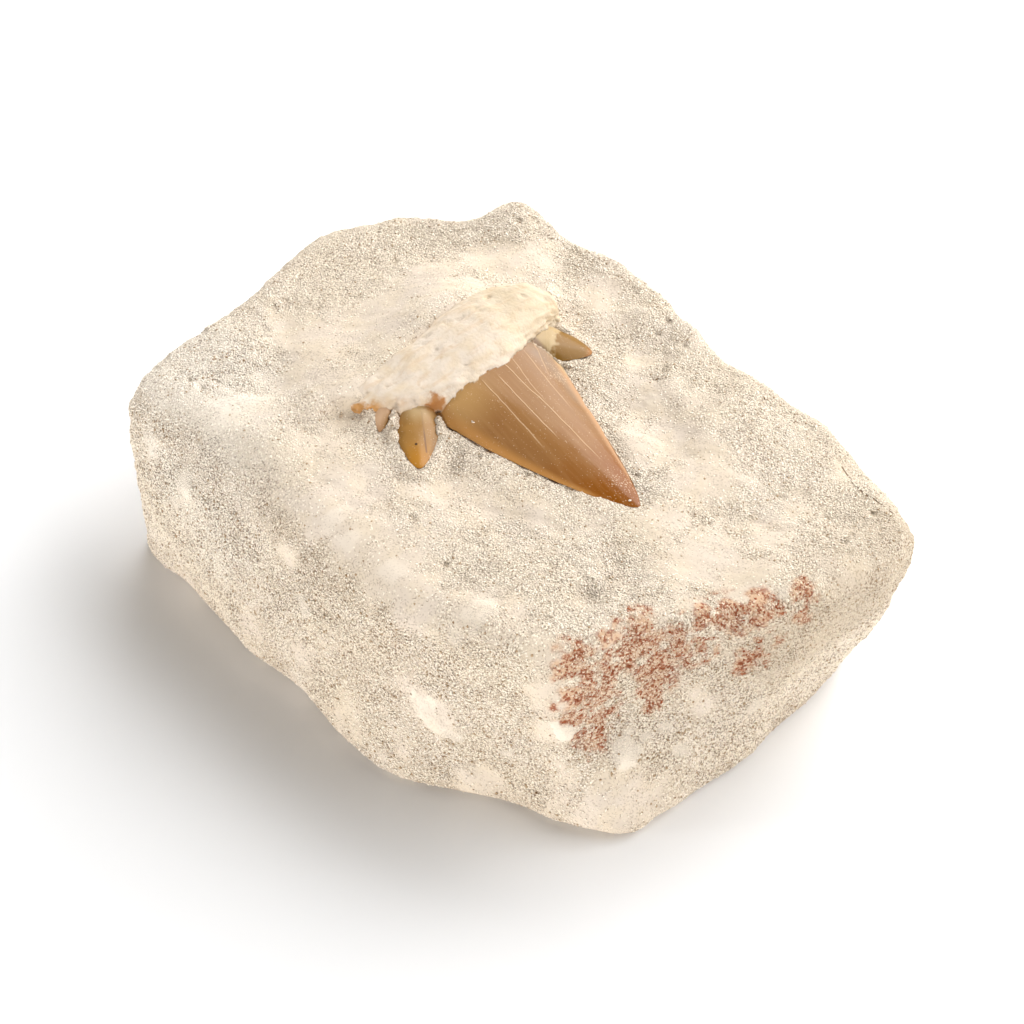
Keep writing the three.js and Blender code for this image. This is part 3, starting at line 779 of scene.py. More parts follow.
def places(thing):
    """The points of an object's mesh, in millimetres about the plan's origin."""
    co = np.zeros(3 * len(thing.data.vertices), np.float32)
    thing.data.vertices.foreach_get("co", co)
    return co.reshape(-1, 3).astype(float) / MM + FOOTPRINT_MIDDLE


def mesh_faces(thing):
    """The triangles of an object's mesh."""
    mesh = thing.data
    mesh.calc_loop_triangles()
    ids = np.zeros(3 * len(mesh.loop_triangles), np.int32)
    mesh.loop_triangles.foreach_get("vertices", ids)
    return ids.reshape(-1, 3)


def note(thing, name, values):
    """Stores one number, or one row of three, for each point of a mesh."""
    kind, key = ("FLOAT", "value") if values.ndim == 1 else ("FLOAT_VECTOR", "vector")
    attribute = thing.data.attributes.new(name, kind, "POINT")
    attribute.data.foreach_set(key, values.astype(np.float32).ravel())


# %% [markdown]
# ## One tooth, and its pocket in the stone
#
# Booleans unite the shells into one skin, and take a slightly smaller tooth out of the block, so the stone
# closes on the tooth without running on inside it. Overlapping shells would look the same from outside,
# but a bake or a cut through them would find walls inside walls. The shells carry notes at their points,
# such as which of them is enamel, and the union keeps these.

# %% The union and the pocket
BLADE_DEPTH, ROOT_DEPTH, LIP_DEPTH = 0.5, 1.1, 1.5  # how far the cutting tools lie inside the tooth's skin


def cut(thing, operation, tools):
    """Applies one boolean after another and throws the tools away."""
    for tool in tools:
        modifier = thing.modifiers.new(operation.lower(), "BOOLEAN")
        modifier.operation, modifier.object, modifier.solver = operation, tool, "MANIFOLD"
    result = bpy.data.meshes.new_from_object(thing.evaluated_get(bpy.context.evaluated_depsgraph_get()))
    thing.modifiers.clear()
    old, thing.data = thing.data, result
    bpy.data.meshes.remove(old)
    result.name = thing.name
    for tool in tools:
        bpy.data.meshes.remove(tool.data)


def inside_blade(points):
    """The cutting tool's skin lies the same depth inside a blade everywhere."""
    return np.full(len(points), -BLADE_DEPTH)


def inside_root(points, normal):
    """It lies deeper inside the root, and deeper still at the front, where the lip is worn back."""
    return -ROOT_DEPTH - LIP_DEPTH * rise(normal[:, 0], 0, 0.7)


plugs = [
    skin_object(f"plug_{number}", points, faces)
    for number, (points, faces, _) in enumerate(shells(0.3, inside_blade, inside_root))
]
block = skin_object("stone", block_points, triangles(block_quads).tolist() + fan.tolist())
cut(block, "DIFFERENCE", plugs)

parts = []
for number, (points, faces, notes) in enumerate(tooth_shells):
    part = skin_object(f"shell_{number}", points, faces)
    note(part, "enamel_along_rim", notes)
    parts.append(part)
tooth = parts[0]
tooth.name = "shark_tooth"
cut(tooth, "UNION", parts[1:])
print("stone:", len(block.data.vertices), "points; tooth:", len(tooth.data.vertices), "points")
print("attributes kept by the union:", [a.name for a in tooth.data.attributes if not a.name.startswith(".")])

# %% [markdown]
# ## What each point knows about itself
#
# The colours follow the same places as the relief, so the masks are worked out again for the final points and
# stored on them. The tooth's points get their place along and across the crown in millimetres, since its
# growth lines and its stains follow the tooth and not the block. An image could hold all this, but it would
# need an unwrapping, and it would blur where the notes stay as sharp as the mesh. One mask is new: painted
# shade for the gaps between grains, which shows most on bare skin and least on the top. One chalk nodule is
# also weakened, a painted shade where the lamps light it too brightly.

# %% The notes on the points
# One chalk nodule is painted duller: painted shade where the lamps light it too brightly.
SHADED_NODULE, SHADED_NODULE_REACH, SHADED_NODULE_SHARE = (21.8, -39.2, 17.5), 4, 0.7  # one nodule is duller than the others


def sandy(points):
    """1 along the edges of the blades, where no tool could reach and the stone stays grainy."""
    return rise(beside_tooth(points)[0] + 0.8 * swells(points, 2.5, 14), 2.8, 1.2)


def within_tooth(points):
    """Whether points lie in the plan of a blade or of the root, a little inside its outline."""
    local = on_tooth(points)
    front, back = root_outline(local[:, 1])
    inside = (local[:, 0] < front - 0.4) & (local[:, 0] > back + 0.7)
    inside &= (local[:, 1] > ROOT[0, 0] + 0.7) & (local[:, 1] < ROOT[-1, 0] - 0.7)
    for shape, at, yaw, pitch in BLADES:
        own = unposed(local, at, yaw, pitch)
        inside |= (own[:, 0] > -2) & (own[:, 0] < shape["length"]) & (shares(shape, own)[1] < 0.94)
    return inside


skin = places(block)
skin_faces = mesh_faces(block)
skin_normals = normals(skin, skin_faces)
masks = skin_masks(skin)
masks["smooth"] *= 1 - 0.5 * sandy(skin)
# Painted shade in the gaps between grains: full on bare skin, half as much on the top.
masks["gap_shade"] = (1 - masks["smooth"]) * (1 - 0.5 * rise(skin_normals[:, 2], 0.5, 0.85))
# Painted shade: the chalk of that one nodule is weakened.
masks["chalk"] *= 1 - SHADED_NODULE_SHARE * np.exp(-np.sum((skin - SHADED_NODULE) ** 2, axis=1) / SHADED_NODULE_REACH**2)
for name, mask in masks.items():
    note(block, name, mask)
note(tooth, "mm", on_tooth(places(tooth)))
print({name: f"{mask.mean():.0%} of the points" for name, mask in masks.items()})

# %% [markdown]
# ## Grains of sand
#
# Seen close, bare sandstone is a heap of grains with dark gaps between them. A bump map can give grey
# speckle, but real grains catch the light one by one and roughen the outline. Copies of one object would
# be light to store, but each grain should have its own shape and tone. So a grain is an octahedron, which
# has only eight triangles, with unequal axes, turned at random and pressed flat on the skin.

# %% A grain, and many of them
GRAIN_RADIUS = 0.24
LEVEL = 0.6  # a place whose normal has a larger z than this belongs to the top
PRESSED_SIDE, PRESSED_TOP = 0.55, 0.15  # the share of a grain's height that is lost, and how much more on top
OCTAHEDRON = np.array([[1, 0, 0], [-1, 0, 0], [0, 1, 0], [0, -1, 0], [0, 0, 1], [0, 0, -1]], float)
OCTAHEDRON_FACES = np.array([
    [0, 2, 4], [2, 1, 4], [1, 3, 4], [3, 0, 4], [2, 0, 5], [1, 2, 5], [3, 1, 5], [0, 3, 5],
])
grain_rng = np.random.default_rng(101)


def random_turns(count):
    """Rotation matrices from random unit quaternions."""
    q = grain_rng.normal(size=(count, 4))
    w, x, y, z = (q / np.linalg.norm(q, axis=1, keepdims=True)).T
    return np.stack([
        1 - 2 * (y * y + z * z), 2 * (x * y - w * z), 2 * (x * z + w * y),
        2 * (x * y + w * z), 1 - 2 * (x * x + z * z), 2 * (y * z - w * x),
        2 * (x * z - w * y), 2 * (y * z + w * x), 1 - 2 * (x * x + y * y),
    ], axis=1).reshape(-1, 3, 3)


def scattered(points, faces, density):
    """Grains on a skin: at most one in a triangle, at a random place, with a chance of the density, to
    the square millimetre, times its area. Gives the places and the normals there."""
    corners = points[faces]
    crossed = np.cross(corners[:, 1] - corners[:, 0], corners[:, 2] - corners[:, 0])
    doubled = np.linalg.norm(crossed, axis=1)
    kept = np.flatnonzero(grain_rng.random(len(faces)) < density * doubled / 2)
    a, b = grain_rng.random((2, len(kept), 1))
    a, b = np.where(a + b > 1, 1 - a, a), np.where(a + b > 1, 1 - b, b)
    first, second, third = np.moveaxis(corners[kept], 1, 0)
    return first + a * (second - first) + b * (third - first), crossed[kept] / doubled[kept, None]


def grain_mesh(name, centres, facing, radii, stain):
    """One mesh of octahedra about their centres, each pressed flat along its facing, with a random tone
    and the stain of its place noted on its corners."""
    axes = grain_rng.uniform(0.7, 1.25, (len(centres), 1, 3)) * radii[:, None, None]
    corners = np.einsum("nij,nkj->nki", random_turns(len(centres)), OCTAHEDRON * axes)
    pressed = (PRESSED_SIDE + PRESSED_TOP * (facing[:, 2] > LEVEL))[:, None]
    pressed = pressed * np.einsum("nki,ni->nk", corners, facing)
    corners = centres[:, None] + corners - pressed[:, :, None] * facing[:, None]
    faces = OCTAHEDRON_FACES + 6 * np.arange(len(centres))[:, None, None]
    piece = skin_object(name, corners.reshape(-1, 3), faces.reshape(-1, 3))
    note(piece, "tone", np.repeat(grain_rng.random(len(centres)), 6))
    note(piece, "stain", np.repeat(stain, 6))
    return piece


# %% [markdown]
# ## The sand on the stone
#
# Bare skin is nearly full of grains, smooth skin and chalk carry few, and none lie under the tooth or at
# the very foot. Sides that the camera doesn't see get half as many. On the top the grains sink by a tenth
# of their radius, and on the sides they stand out by half of that. The whole set is one array of places,
# cut into nine meshes by the side of the block that they lie on, so that none of them gets too heavy.

# %% The sand on the stone
GRAIN_DENSITY = 7.5  # to the square millimetre of bare skin
LOST_SMOOTH, LOST_CHALK = 0.88, 0.97  # the share of grains that is missing there
LOWEST_GRAIN = 1
SUNK_TOP, SUNK_SIDE = 0.1, -0.05  # in radii
TOP_BANDS = [-17, 3, 22]  # the y at which one mesh on the top ends and the next starts

skin_middle = skin[skin_faces].mean(axis=1)
density = GRAIN_DENSITY * (1 - LOST_SMOOTH * smooth_mask(skin_middle) * (1 - 0.5 * sandy(skin_middle)))
density *= 1 - LOST_CHALK * chalk_mask(skin_middle)
under_tooth = within_tooth(skin_middle) & (skin_middle[:, 2] > TOOTH_ABOVE)
density *= (skin_middle[:, 2] > LOWEST_GRAIN) & ~under_tooth
density *= np.where(skin_normals[skin_faces[:, 0]] @ np.array(towards_camera) > 0.1, 1, 0.5)
centres, facing = scattered(skin, skin_faces, density)
radii = GRAIN_RADIUS * grain_rng.uniform(0.65, 1.3, len(centres))
sunk = np.where(facing[:, 2] > LEVEL, SUNK_TOP, SUNK_SIDE)
stains = stain_mask(centres)
centres = centres - facing * (sunk * radii)[:, None]
top_band, near_half = np.digitize(centres[:, 1], TOP_BANDS), 4 + (centres[:, 0] > -10)
region = np.select(  # four bands of the top, two halves of the near side, right, far and left
    [facing[:, 2] > LEVEL, facing[:, 1] < -0.45, facing[:, 0] > 0.3, facing[:, 1] > 0.3],
    [top_band, near_half, 6, 7], 8,
)
grains = [
    grain_mesh(f"grains_{k}", *(values[region == k] for values in (centres, facing, radii, stains)))
    for k in range(9)
]
print("grains:", [len(piece.data.polygons) // len(OCTAHEDRON_FACES) for piece in grains])

# %% [markdown]
# ## A few grains on the tooth
#
# Some sand has stayed on the tooth. A few small grains fall anywhere on its upper side, and two larger ones
# lie at places of their own: each sits on the point of the tooth's mesh that is nearest to its place.

# %% A few grains on the tooth
TOOTH_DENSITY = 0.004  # to the square millimetre
LARGE_GRAINS, LARGE_RADIUS = [(5.1, -9.1, 2), (33.1, -0.7, 2)], 0.36

tooth_skin, tooth_faces = places(tooth), mesh_faces(tooth)
centres, facing = scattered(tooth_skin, tooth_faces, np.full(len(tooth_faces), TOOTH_DENSITY))
centres, facing = centres[facing[:, 2] > 0.1], facing[facing[:, 2] > 0.1]
radii = GRAIN_RADIUS * grain_rng.uniform(0.4, 0.8, len(centres))
on_crown = on_tooth(tooth_skin)
for grain_place in LARGE_GRAINS:
    nearest = np.argmin(np.linalg.norm(on_crown - grain_place, axis=1))
    centres = np.concatenate([centres, tooth_skin[nearest][None]])
    facing, radii = np.concatenate([facing, [[0, 0, 1]]]), np.append(radii, LARGE_RADIUS)
grains.append(grain_mesh("grains_on_tooth", centres, facing, radii, 0 * radii))
print("grains on the tooth:", len(centres))

# %% [markdown]
# ## Materials
#
# A material is a small formula: masks from the points, noise at several sizes, and a few colours between
# which they choose. Written as node calls such a formula is hard to read, so a wire is wrapped in a class
# whose arithmetic adds the Math nodes. Colours are given as a picture would show them, from 0 to 255, and
# turned into light by the sRGB curve.

# %% A way to write materials
def colour(red, green, blue):
    """From what a screen shows to linear light: ((v + 0.055) / 1.055)^2.4, or v / 12.92 near black."""
    v = np.array([red, green, blue]) / 255
    return (*np.where(v > 0.04045, ((v + 0.055) / 1.055) ** 2.4, v / 12.92), 1.0)


class Wire:
    """An output of a node. Arithmetic with it adds a Math node and gives that node's output."""

    def __init__(self, recipe, socket):
        self.recipe, self.socket = recipe, socket

    def __add__(self, other):
        return self.recipe.math("ADD", self, other)

    def __radd__(self, other):
        return self.recipe.math("ADD", other, self)

    def __sub__(self, other):
        return self.recipe.math("SUBTRACT", self, other)

    def __rsub__(self, other):
        return self.recipe.math("SUBTRACT", other, self)

    def __mul__(self, other):
        return self.recipe.math("MULTIPLY", self, other)

    def __rmul__(self, other):
        return self.recipe.math("MULTIPLY", other, self)

    def __abs__(self):
        return self.recipe.math("ABSOLUTE", self, 0)


class Recipe:
    """A material and the nodes of its formula."""

    def __init__(self, name):
        self.material = bpy.data.materials.new(name)
        self.material.use_nodes = True
        self.tree = self.material.node_tree
        self.shader = next(node for node in self.tree.nodes if node.type == "BSDF_PRINCIPLED")

    def node(self, kind, settings, inputs, output=0):
        """Adds a node: its settings, what goes into its inputs, and which of its outputs is meant."""
        node = self.tree.nodes.new(kind)
        for key, value in settings.items():
            setattr(node, key, value)
        for key, value in inputs.items():
            self.feed(node.inputs[key], value)
        return Wire(self, node.outputs[output])

    def feed(self, socket, value):
        """Joins a wire to a socket, or sets the socket's own value."""
        if isinstance(value, Wire):
            self.tree.links.new(value.socket, socket)
        else:
            socket.default_value = value

    def math(self, operation, first, second):
        """A Math node with two inputs."""
        return self.node("ShaderNodeMath", {"operation": operation}, {0: first, 1: second})

    def vector(self, operation, inputs, output="Vector"):
        """A Vector Math node, whose output "Value" is a length or a product."""
        return self.node("ShaderNodeVectorMath", {"operation": operation}, inputs, output)

    def split(self, vector):
        """The three components of a vector."""
        node = self.node("ShaderNodeSeparateXYZ", {}, {0: vector}).socket.node
        return [Wire(self, output) for output in node.outputs]

    def noted(self, name, output="Fac"):
        """A note of the mesh: its number, or with output "Vector" its three numbers."""
        return self.node("ShaderNodeAttribute", {"attribute_name": name}, {}, output)

    def place(self):
        """The place on the piece, in metres."""
        return self.node("ShaderNodeTexCoord", {}, {}, "Object")

    def noise(self, size, detail=2.0, where=None, roughness=0.5):
        """Noise about 0.5 whose swells are so many millimetres wide."""
        unit = MM if where is None else 1
        return self.node("ShaderNodeTexNoise", {}, {
            "Vector": where or self.place(), "Scale": 1 / (size * unit),
            "Detail": detail, "Roughness": roughness,
        })

    def step(self, value, low, high):
        """The smooth step from 0 at low to 1 at high."""
        return self.node(
            "ShaderNodeMapRange", {"interpolation_type": "SMOOTHSTEP"},
            {"Value": value, "From Min": low, "From Max": high},
        )

    def mix(self, share, first, second):
        """From the first colour at a share of 0 to the second at 1."""
        return self.node("ShaderNodeMix", {"data_type": "RGBA"}, {0: share, 6: first, 7: second}, 2)

    def bump(self, height, reach, strength=1.0):
        """Turns a height, in shares of the reach in millimetres, into a normal."""
        return self.node("ShaderNodeBump", {}, {
            "Strength": strength, "Distance": reach * MM, "Height": height,
        })

    def finish(self, **inputs):
        """Feeds the shader and gives the material."""
        for name, value in inputs.items():
            self.feed(self.shader.inputs[name.replace("_", " ")], value)
        print("material", self.material.name, "has", len(self.tree.nodes), "nodes")
        return self.material


print("a mid grey on the screen is", round(float(colour(128, 128, 128)[0]), 3), "of the light")

# %% [markdown]
# ## Painted light and shade, pits and a crack
#
# Some marks cross from one finish to the next. The stone and its grains are painted paler along the near left
# corner, a painted light where the lamps leave its facets in shade. They are painted duller along the
# right-hand end, a painted shade where the lamps light it strongly. Dark pits of painted shade between grains
# crowd in some places on both. A gradient texture runs along an axis only, so the distance to a stretch
# between two points says how much of such a mark there is. The same distance, to each stretch of a crooked
# line, draws a crack, whose dark line is painted shade.

# %% Painted light and shade, pits and a crack
# Painted light on the near left corner and painted shade on the right-hand end, to even out the lamps.
PAINTED_LIGHT_AND_SHADE = [  # from, to, share, how far it reaches, colour
    ((-30, -38, 28), (-49, -26, 36), 0.4, 20, (255, 248, 236)),
    ((60, 3, 27), (59, 26, 32), 0.42, 15, (196, 178, 152)),
]
PAINTED_FULL_REACH = 5  # how far off it is still at its strongest
CRACK = np.array([
    (41.7, 31.6, 0), (43.9, 31, 0), (45.3, 29.9, 0), (47.6, 29.7, 0), (49.4, 29.9, 0), (53.9, 29.8, 0),
]) * MM
CRACK_DEPTH = 34  # only above this height, so that it stays on the top


def pit_shade(r):
    """1 in the pits between grains, where painted shade darkens them; they crowd in some places."""
    crowded = r.step(r.noise(6, 3), 0.36, 0.62)
    return r.step(r.noise(0.3, 1) + 0.08 * crowded, 0.632, 0.67)


def off_stretch(r, spot, a, b):
    """The distance to the stretch from a to b. Its nearest point is a + t (b - a), where t is
    (p - a).(b - a) / |b - a|^2, kept between 0 and 1."""
    scaled = (b - a) / np.sum((b - a) ** 2)
    along = r.vector("DOT_PRODUCT", {0: spot, 1: scaled}, "Value")
    along = r.node("ShaderNodeClamp", {}, {0: along - float(a @ scaled)})
    foot = r.vector("MULTIPLY_ADD", {0: along, 1: b - a, 2: a})
    return r.vector("DISTANCE", {0: spot, 1: foot}, "Value")


def with_painted_light_and_shade(r, base):
    """A colour with painted light on the near left corner and painted shade on the right-hand end over it."""
    for start, end, share, reach, other in PAINTED_LIGHT_AND_SHADE:
        away = off_stretch(r, r.place(), np.array(start) * MM, np.array(end) * MM)
        base = r.mix(share - share * r.step(away, PAINTED_FULL_REACH * MM, reach * MM), base, colour(*other))
    return base


def cracked(r):
    """1 on a thin crooked line in plan, at points that noise has shifted, and only near the top."""
    shift = r.vector("SCALE", {0: (0.7 * MM, -0.5 * MM, 0), "Scale": r.noise(1.2, 3) - 0.5})
    flat = r.vector("MULTIPLY_ADD", {0: r.place(), 1: (1, 1, 0), 2: shift})
    nearest = 1
    for start, end in zip(CRACK[:-1], CRACK[1:]):
        nearest = r.math("MINIMUM", nearest, off_stretch(r, flat, start, end))
    _, _, height = r.split(r.place())
    on_top = r.step(height, (CRACK_DEPTH - 1) * MM, CRACK_DEPTH * MM)
    return (1 - r.step(nearest, 0.05 * MM, 0.2 * MM)) * on_top


crack_length = np.linalg.norm(np.diff(CRACK, axis=0), axis=1).sum() / MM
print("the crack is", crack_length.round(1), "mm long")

# %% [markdown]
# ## The stone's colours
#
# The smooth skin is cream with rosy and yellowish clouds, and the ground between loose grains is fresher. The
# edges of small Voronoi cells draw the gaps between grains that are too fine to be modelled, and noise draws
# pits, both in painted shade. Rust and chalk lie over that, where their masks say so, and the crack, a line
# of painted shade, is last. Chalk is fainter near the top, where it has been rubbed. Painted on an image all
# this would blur from close by. As a formula it stays sharp, and it keeps in step with the relief.

# %% The stone's colours
CREAM, ROSY, YELLOWISH = colour(218, 202, 182), colour(216, 201, 184), colour(219, 202, 176)
# The gap and pit colours are painted shade between grains, and the pit colour also darkens the crack.
PALE, SHADE_IN_GAPS, SHADE_IN_PITS = colour(231, 218, 201), colour(184, 159, 130), colour(111, 78, 45)
BARE = colour(243, 229, 208)  # the ground between grains, fresher than the smooth skin
CHALK = colour(244, 231, 213)
RUST, PALE_RUST = colour(148, 82, 54), colour(216, 182, 150)
CELL_SIZE = 0.42

r = Recipe("sandstone")
smooth, chalk, stain, gap_shade = (r.noted(name) for name in ("smooth", "chalk", "stain", "gap_shade"))
broad = r.step(r.noise(13), 0.38, 0.62)
patch = r.step(r.noise(4.5, 3), 0.42, 0.66)
fine = r.noise(0.5, 3)
ground = r.mix(patch * 0.6, r.mix(broad, ROSY, CREAM), YELLOWISH)
ground = r.mix(r.step(fine, 0.3, 0.7) * 0.25, ground, PALE)
ground = with_painted_light_and_shade(r, r.mix((1 - smooth) * 0.42, ground, BARE))
cells = r.node("ShaderNodeTexVoronoi", {"feature": "DISTANCE_TO_EDGE"}, {
    "Vector": r.place(), "Scale": 1 / (CELL_SIZE * MM),
})
# Painted shade in the gaps between grains and in the pits, most on bare skin.
gap_shade_lines = 1 - r.step(cells - 0.15 * r.noise(0.9, 2), 0, 0.1)
stone_colour = r.mix(gap_shade_lines * gap_shade * 0.6, ground, SHADE_IN_GAPS)
stone_colour = r.mix(pit_shade(r) * (0.3 + 0.42 * gap_shade), stone_colour, SHADE_IN_PITS)
rusty = r.mix(r.step(fine + 0.6 * r.noise(1.6, 2), 0.66, 0.9), RUST, PALE_RUST)
stone_colour = r.mix(stain * (1 - 0.75 * chalk), stone_colour, rusty)
_, _, stone_height = r.split(r.place())
on_top = r.step(stone_height, 32 * MM, 36 * MM)
stone_colour = r.mix(chalk * (0.66 - 0.28 * on_top), stone_colour, CHALK)
crack = cracked(r)
# The crack is darkened with painted shade.
stone_colour = r.mix(crack * 0.8, stone_colour, SHADE_IN_PITS)
height = r.noise(1.1, 4) * 0.6 + (1 - smooth) * r.step(cells, 0, 0.25) - crack
sandstone = r.finish(
    Base_Color=stone_colour, Roughness=0.9, Specular_IOR_Level=0.2, Normal=r.bump(height, 0.14),
)

# %% [markdown]
# ## The grains' colours
#
# A loose grain is mostly quartz, paler than the ground that it lies on. Each has one tone, a random number
# noted on all its corners, so neighbours differ while a single grain is even. A few of them are dark.
# Where iron has stained the stone, a part of the grains is rusty and the rest is only tinted.

# %% The grains' colours
r = Recipe("sand_grains")
tone, stain = r.noted("tone"), r.noted("stain")
broad = r.step(r.noise(13), 0.38, 0.62)
pale = r.mix(broad, colour(244, 232, 217), colour(246, 233, 214))
# The grains get the same painted light on the near left corner and painted shade on the right-hand end.
grain_colour = with_painted_light_and_shade(r, r.mix(tone, colour(241, 229, 208), pale))
grain_colour = r.mix(r.step(tone, 0.04, 0.1), colour(177, 151, 119), grain_colour)
# Painted shade of the pits lies on the grains too.
grain_colour = r.mix(pit_shade(r) * 0.66, grain_colour, SHADE_IN_PITS)
rust_share = r.step(r.noise(1.5, 2) + 0.5 * tone, 0.82, 0.56)
rust = r.mix(tone, colour(146, 76, 46), colour(212, 150, 112))
grain_colour = r.mix(stain * 0.5, grain_colour, colour(222, 188, 154))
grain_colour = r.mix(rust_share * r.step(stain, 0.1, 0.6), grain_colour, rust)
sand = r.finish(Base_Color=grain_colour, Roughness=0.8, Specular_IOR_Level=0.2)

# %% [markdown]
# ## The tooth's two halves
#
# Enamel is hard and glossy, and the root is dull and chalky. The union made one skin of them, so one
# material serves both, and a note says which half a point belongs to. The other notes give its share of
# the blade's length and width, and its place in the tooth's own millimetres. With those, a stain or a
# line is a simple function of x along, y across and z up.

# %% The tooth's two halves
GROWTH_LINES = [  # across at the neck, slope, from, to, strength
    (-3.7, -0.04, 1, 18, 0.7), (-1.05, -0.04, 2, 18, 0.8), (1.3, 0.0, 0, 25, 1), (3.1, -0.15, 0, 11, 0.7),
    (5.85, -0.09, 0, 14, 0.7), (8.5, -0.41, -3, 7, 0.7), (10.6, -0.74, -5, 3, 0.6),
]
LINE_WIDTH = 0.14

r = Recipe("enamel_and_root")
enamel, along, rim = r.split(r.noted("enamel_along_rim", "Vector"))
spot = r.noted("mm", "Vector")
x, y, z = r.split(spot)


def near(at, reach):
    """1 at a place in the tooth's own millimetres, falling to 0 at the given distance."""
    return 1 - r.step(r.vector("DISTANCE", {0: spot, 1: at}, "Value"), 0, reach)


def stretched(size, detail, by):
    """Noise at points that are squeezed or spread along each axis first."""
    return r.noise(size, detail, r.vector("MULTIPLY", {0: spot, 1: by}))


streaks = stretched(1, 3, (0.12, 1.3, 0.3))  # long ones, down the blade
fibres = stretched(1.1, 3, (1, 0.16, 1))  # across the root
cloud = r.noise(5, 2, spot)
left_cusplet, right_cusplet = near((0, -17, 1), 8), near((0, 14.5, 1), 6)
on_left, on_right = r.step(left_cusplet, 0.1, 0.4), r.step(right_cusplet, 0.1, 0.4)
print("growth lines:", len(GROWTH_LINES))

# %% [markdown]
# ## The enamel's browns
#
# Iron has coloured the enamel: amber brown on the left, greyer towards the right, and deeper near the
# tip, with a paler rim along the thin edges. A colour ramp could hold these browns along one direction,
# but they change in two. So each colour lies over the ones before it like a glaze, with a mask for its
# share. The cusplets have browns of their own, and the left one is darker along its rims.

# %% The enamel's browns
wavy = y + 4 * (cloud - 0.5)
crown = r.mix(r.step(wavy, -6, -0.5), colour(142, 99, 56), colour(150, 106, 58))
crown = r.mix(r.step(wavy, 1, 6), crown, colour(150, 110, 70))
crown = r.mix(r.step(wavy, 6, 9), crown, colour(152, 126, 103))
crown = r.mix(r.step(along + 0.3 * (cloud - 0.5), 0.4, 0.9), crown, colour(134, 75, 8))
crown = r.mix(near((0, -8, 2), 9) * 0.9, crown, colour(184, 145, 92))
edge_colour = r.mix(r.step(y, 0, 1), colour(190, 136, 74), colour(198, 154, 114))
crown = r.mix(r.step(rim, 0.8, 0.97) * 0.8 * (1 - r.step(along, 0.75, 0.9)), crown, edge_colour)
crown = r.mix(r.step(streaks, 0.45, 0.7) * 0.16, crown, colour(180, 138, 92))
crown = r.mix(near((-5.6, -19.4, 1), 5) * 0.9, crown, colour(202, 168, 136))
crown = r.mix(on_left, crown, r.mix(cloud, colour(143, 100, 42), colour(166, 124, 68)))
crown = r.mix(near((5, -20, 0), 5), crown, colour(178, 122, 42))
crown = r.mix(on_left * r.step(rim, 0.66, 0.95) * 0.5, crown, colour(120, 84, 36))
crown = r.mix(on_right, crown, r.mix(cloud, colour(129, 91, 24), colour(142, 102, 35)))
crown = r.mix(near((4.4, 18, 0), 2.8) * 0.8, crown, colour(190, 129, 44))
print("nodes so far:", len(r.tree.nodes))

# %% [markdown]
# ## Lines, dust and cracks on the enamel
#
# Pale hairlines run down the crown, the way it grew. Each is the set of points whose y stays close to a
# sloping line, and it fades in and out along x. A scraped patch at the right edge, a pale one at the left,
# dust, a fine crack over the left cusplet and a dark dot beside it are laid over them.

# %% Lines, dust and cracks on the enamel
CUSPLET_CRACK = np.array([[-1.7, -14.2, 0], [4.4, -18.1, 0]])  # from and to, in plan
CUSPLET_DOT = (2.4, -18.6, 0)

lines = 0
for start, slope, first, last_along, strength in GROWTH_LINES:
    away = abs(y - (start + slope * x + 0.5 * (cloud - 0.5)))
    shown = r.step(x, first - 1, first + 1) * (1 - r.step(x, last_along - 4, last_along))
    lines = lines + (1 - r.step(away, 0.3 * LINE_WIDTH, LINE_WIDTH)) * shown * strength
lines = r.node("ShaderNodeClamp", {}, {0: lines}) * (1 - r.step(right_cusplet, 0.2, 0.4))
crown = r.mix(lines * 0.75, crown, colour(212, 176, 136))
ragged = along + 0.5 * (r.noise(1.2, 3, spot) - 0.5)
scraped = r.step(y, 10.1, 10.8) * (1 - r.step(ragged, 0.06, 0.2))
crown = r.mix(scraped * 0.75, crown, colour(198, 173, 130))
crown = r.mix(near((-3, -14, 1.6), 4) * 0.85, crown, colour(204, 176, 130))
dusty = 0.12 * near((5.5, 7.8, 2), 5) + 0.14 * near((30, 1.5, 1.5), 6)
dust = r.step(r.noise(0.24, 1, spot) + 0.12 * r.noise(3, 2, spot) + dusty, 0.76, 0.8)
crown = r.mix(dust * 0.55, crown, colour(226, 200, 168))
flat = r.vector("MULTIPLY", {0: spot, 1: (1, 1, 0)})
cusplet_crack = 1 - r.step(off_stretch(r, flat, *CUSPLET_CRACK), 0.06, 0.22)
crown = r.mix(cusplet_crack * (0.15 + 0.45 * r.step(x, 0.4, 2)), crown, colour(104, 70, 50))
dot = 1 - r.step(r.vector("DISTANCE", {0: flat, 1: CUSPLET_DOT}, "Value"), 0.14, 0.3)
crown = r.mix(dot, crown, colour(66, 44, 26))
print("nodes so far:", len(r.tree.nodes))

# %% [markdown]
# ## The root, and both halves together
#
# The root is cream and yellowish in patches, with fibres across it, and an orange stain lies on the part
# of its front that bulges over the left of the crown. At the end the two colours meet where the note of
# the enamel says so, and a blotch lies over the seam. Only the enamel is glossy, and each half has its own
# fine bumps: the growth lines and streaks on the one, pores and fibres on the other.

# %% The root, and both halves together
root_colour = r.mix(r.step(r.noise(3, 3, spot), 0.4, 0.7), colour(221, 206, 188), colour(218, 199, 173))
root_colour = r.mix(r.step(r.noise(1.4, 3, spot), 0.6, 0.75) * 0.4, root_colour, colour(196, 166, 126))
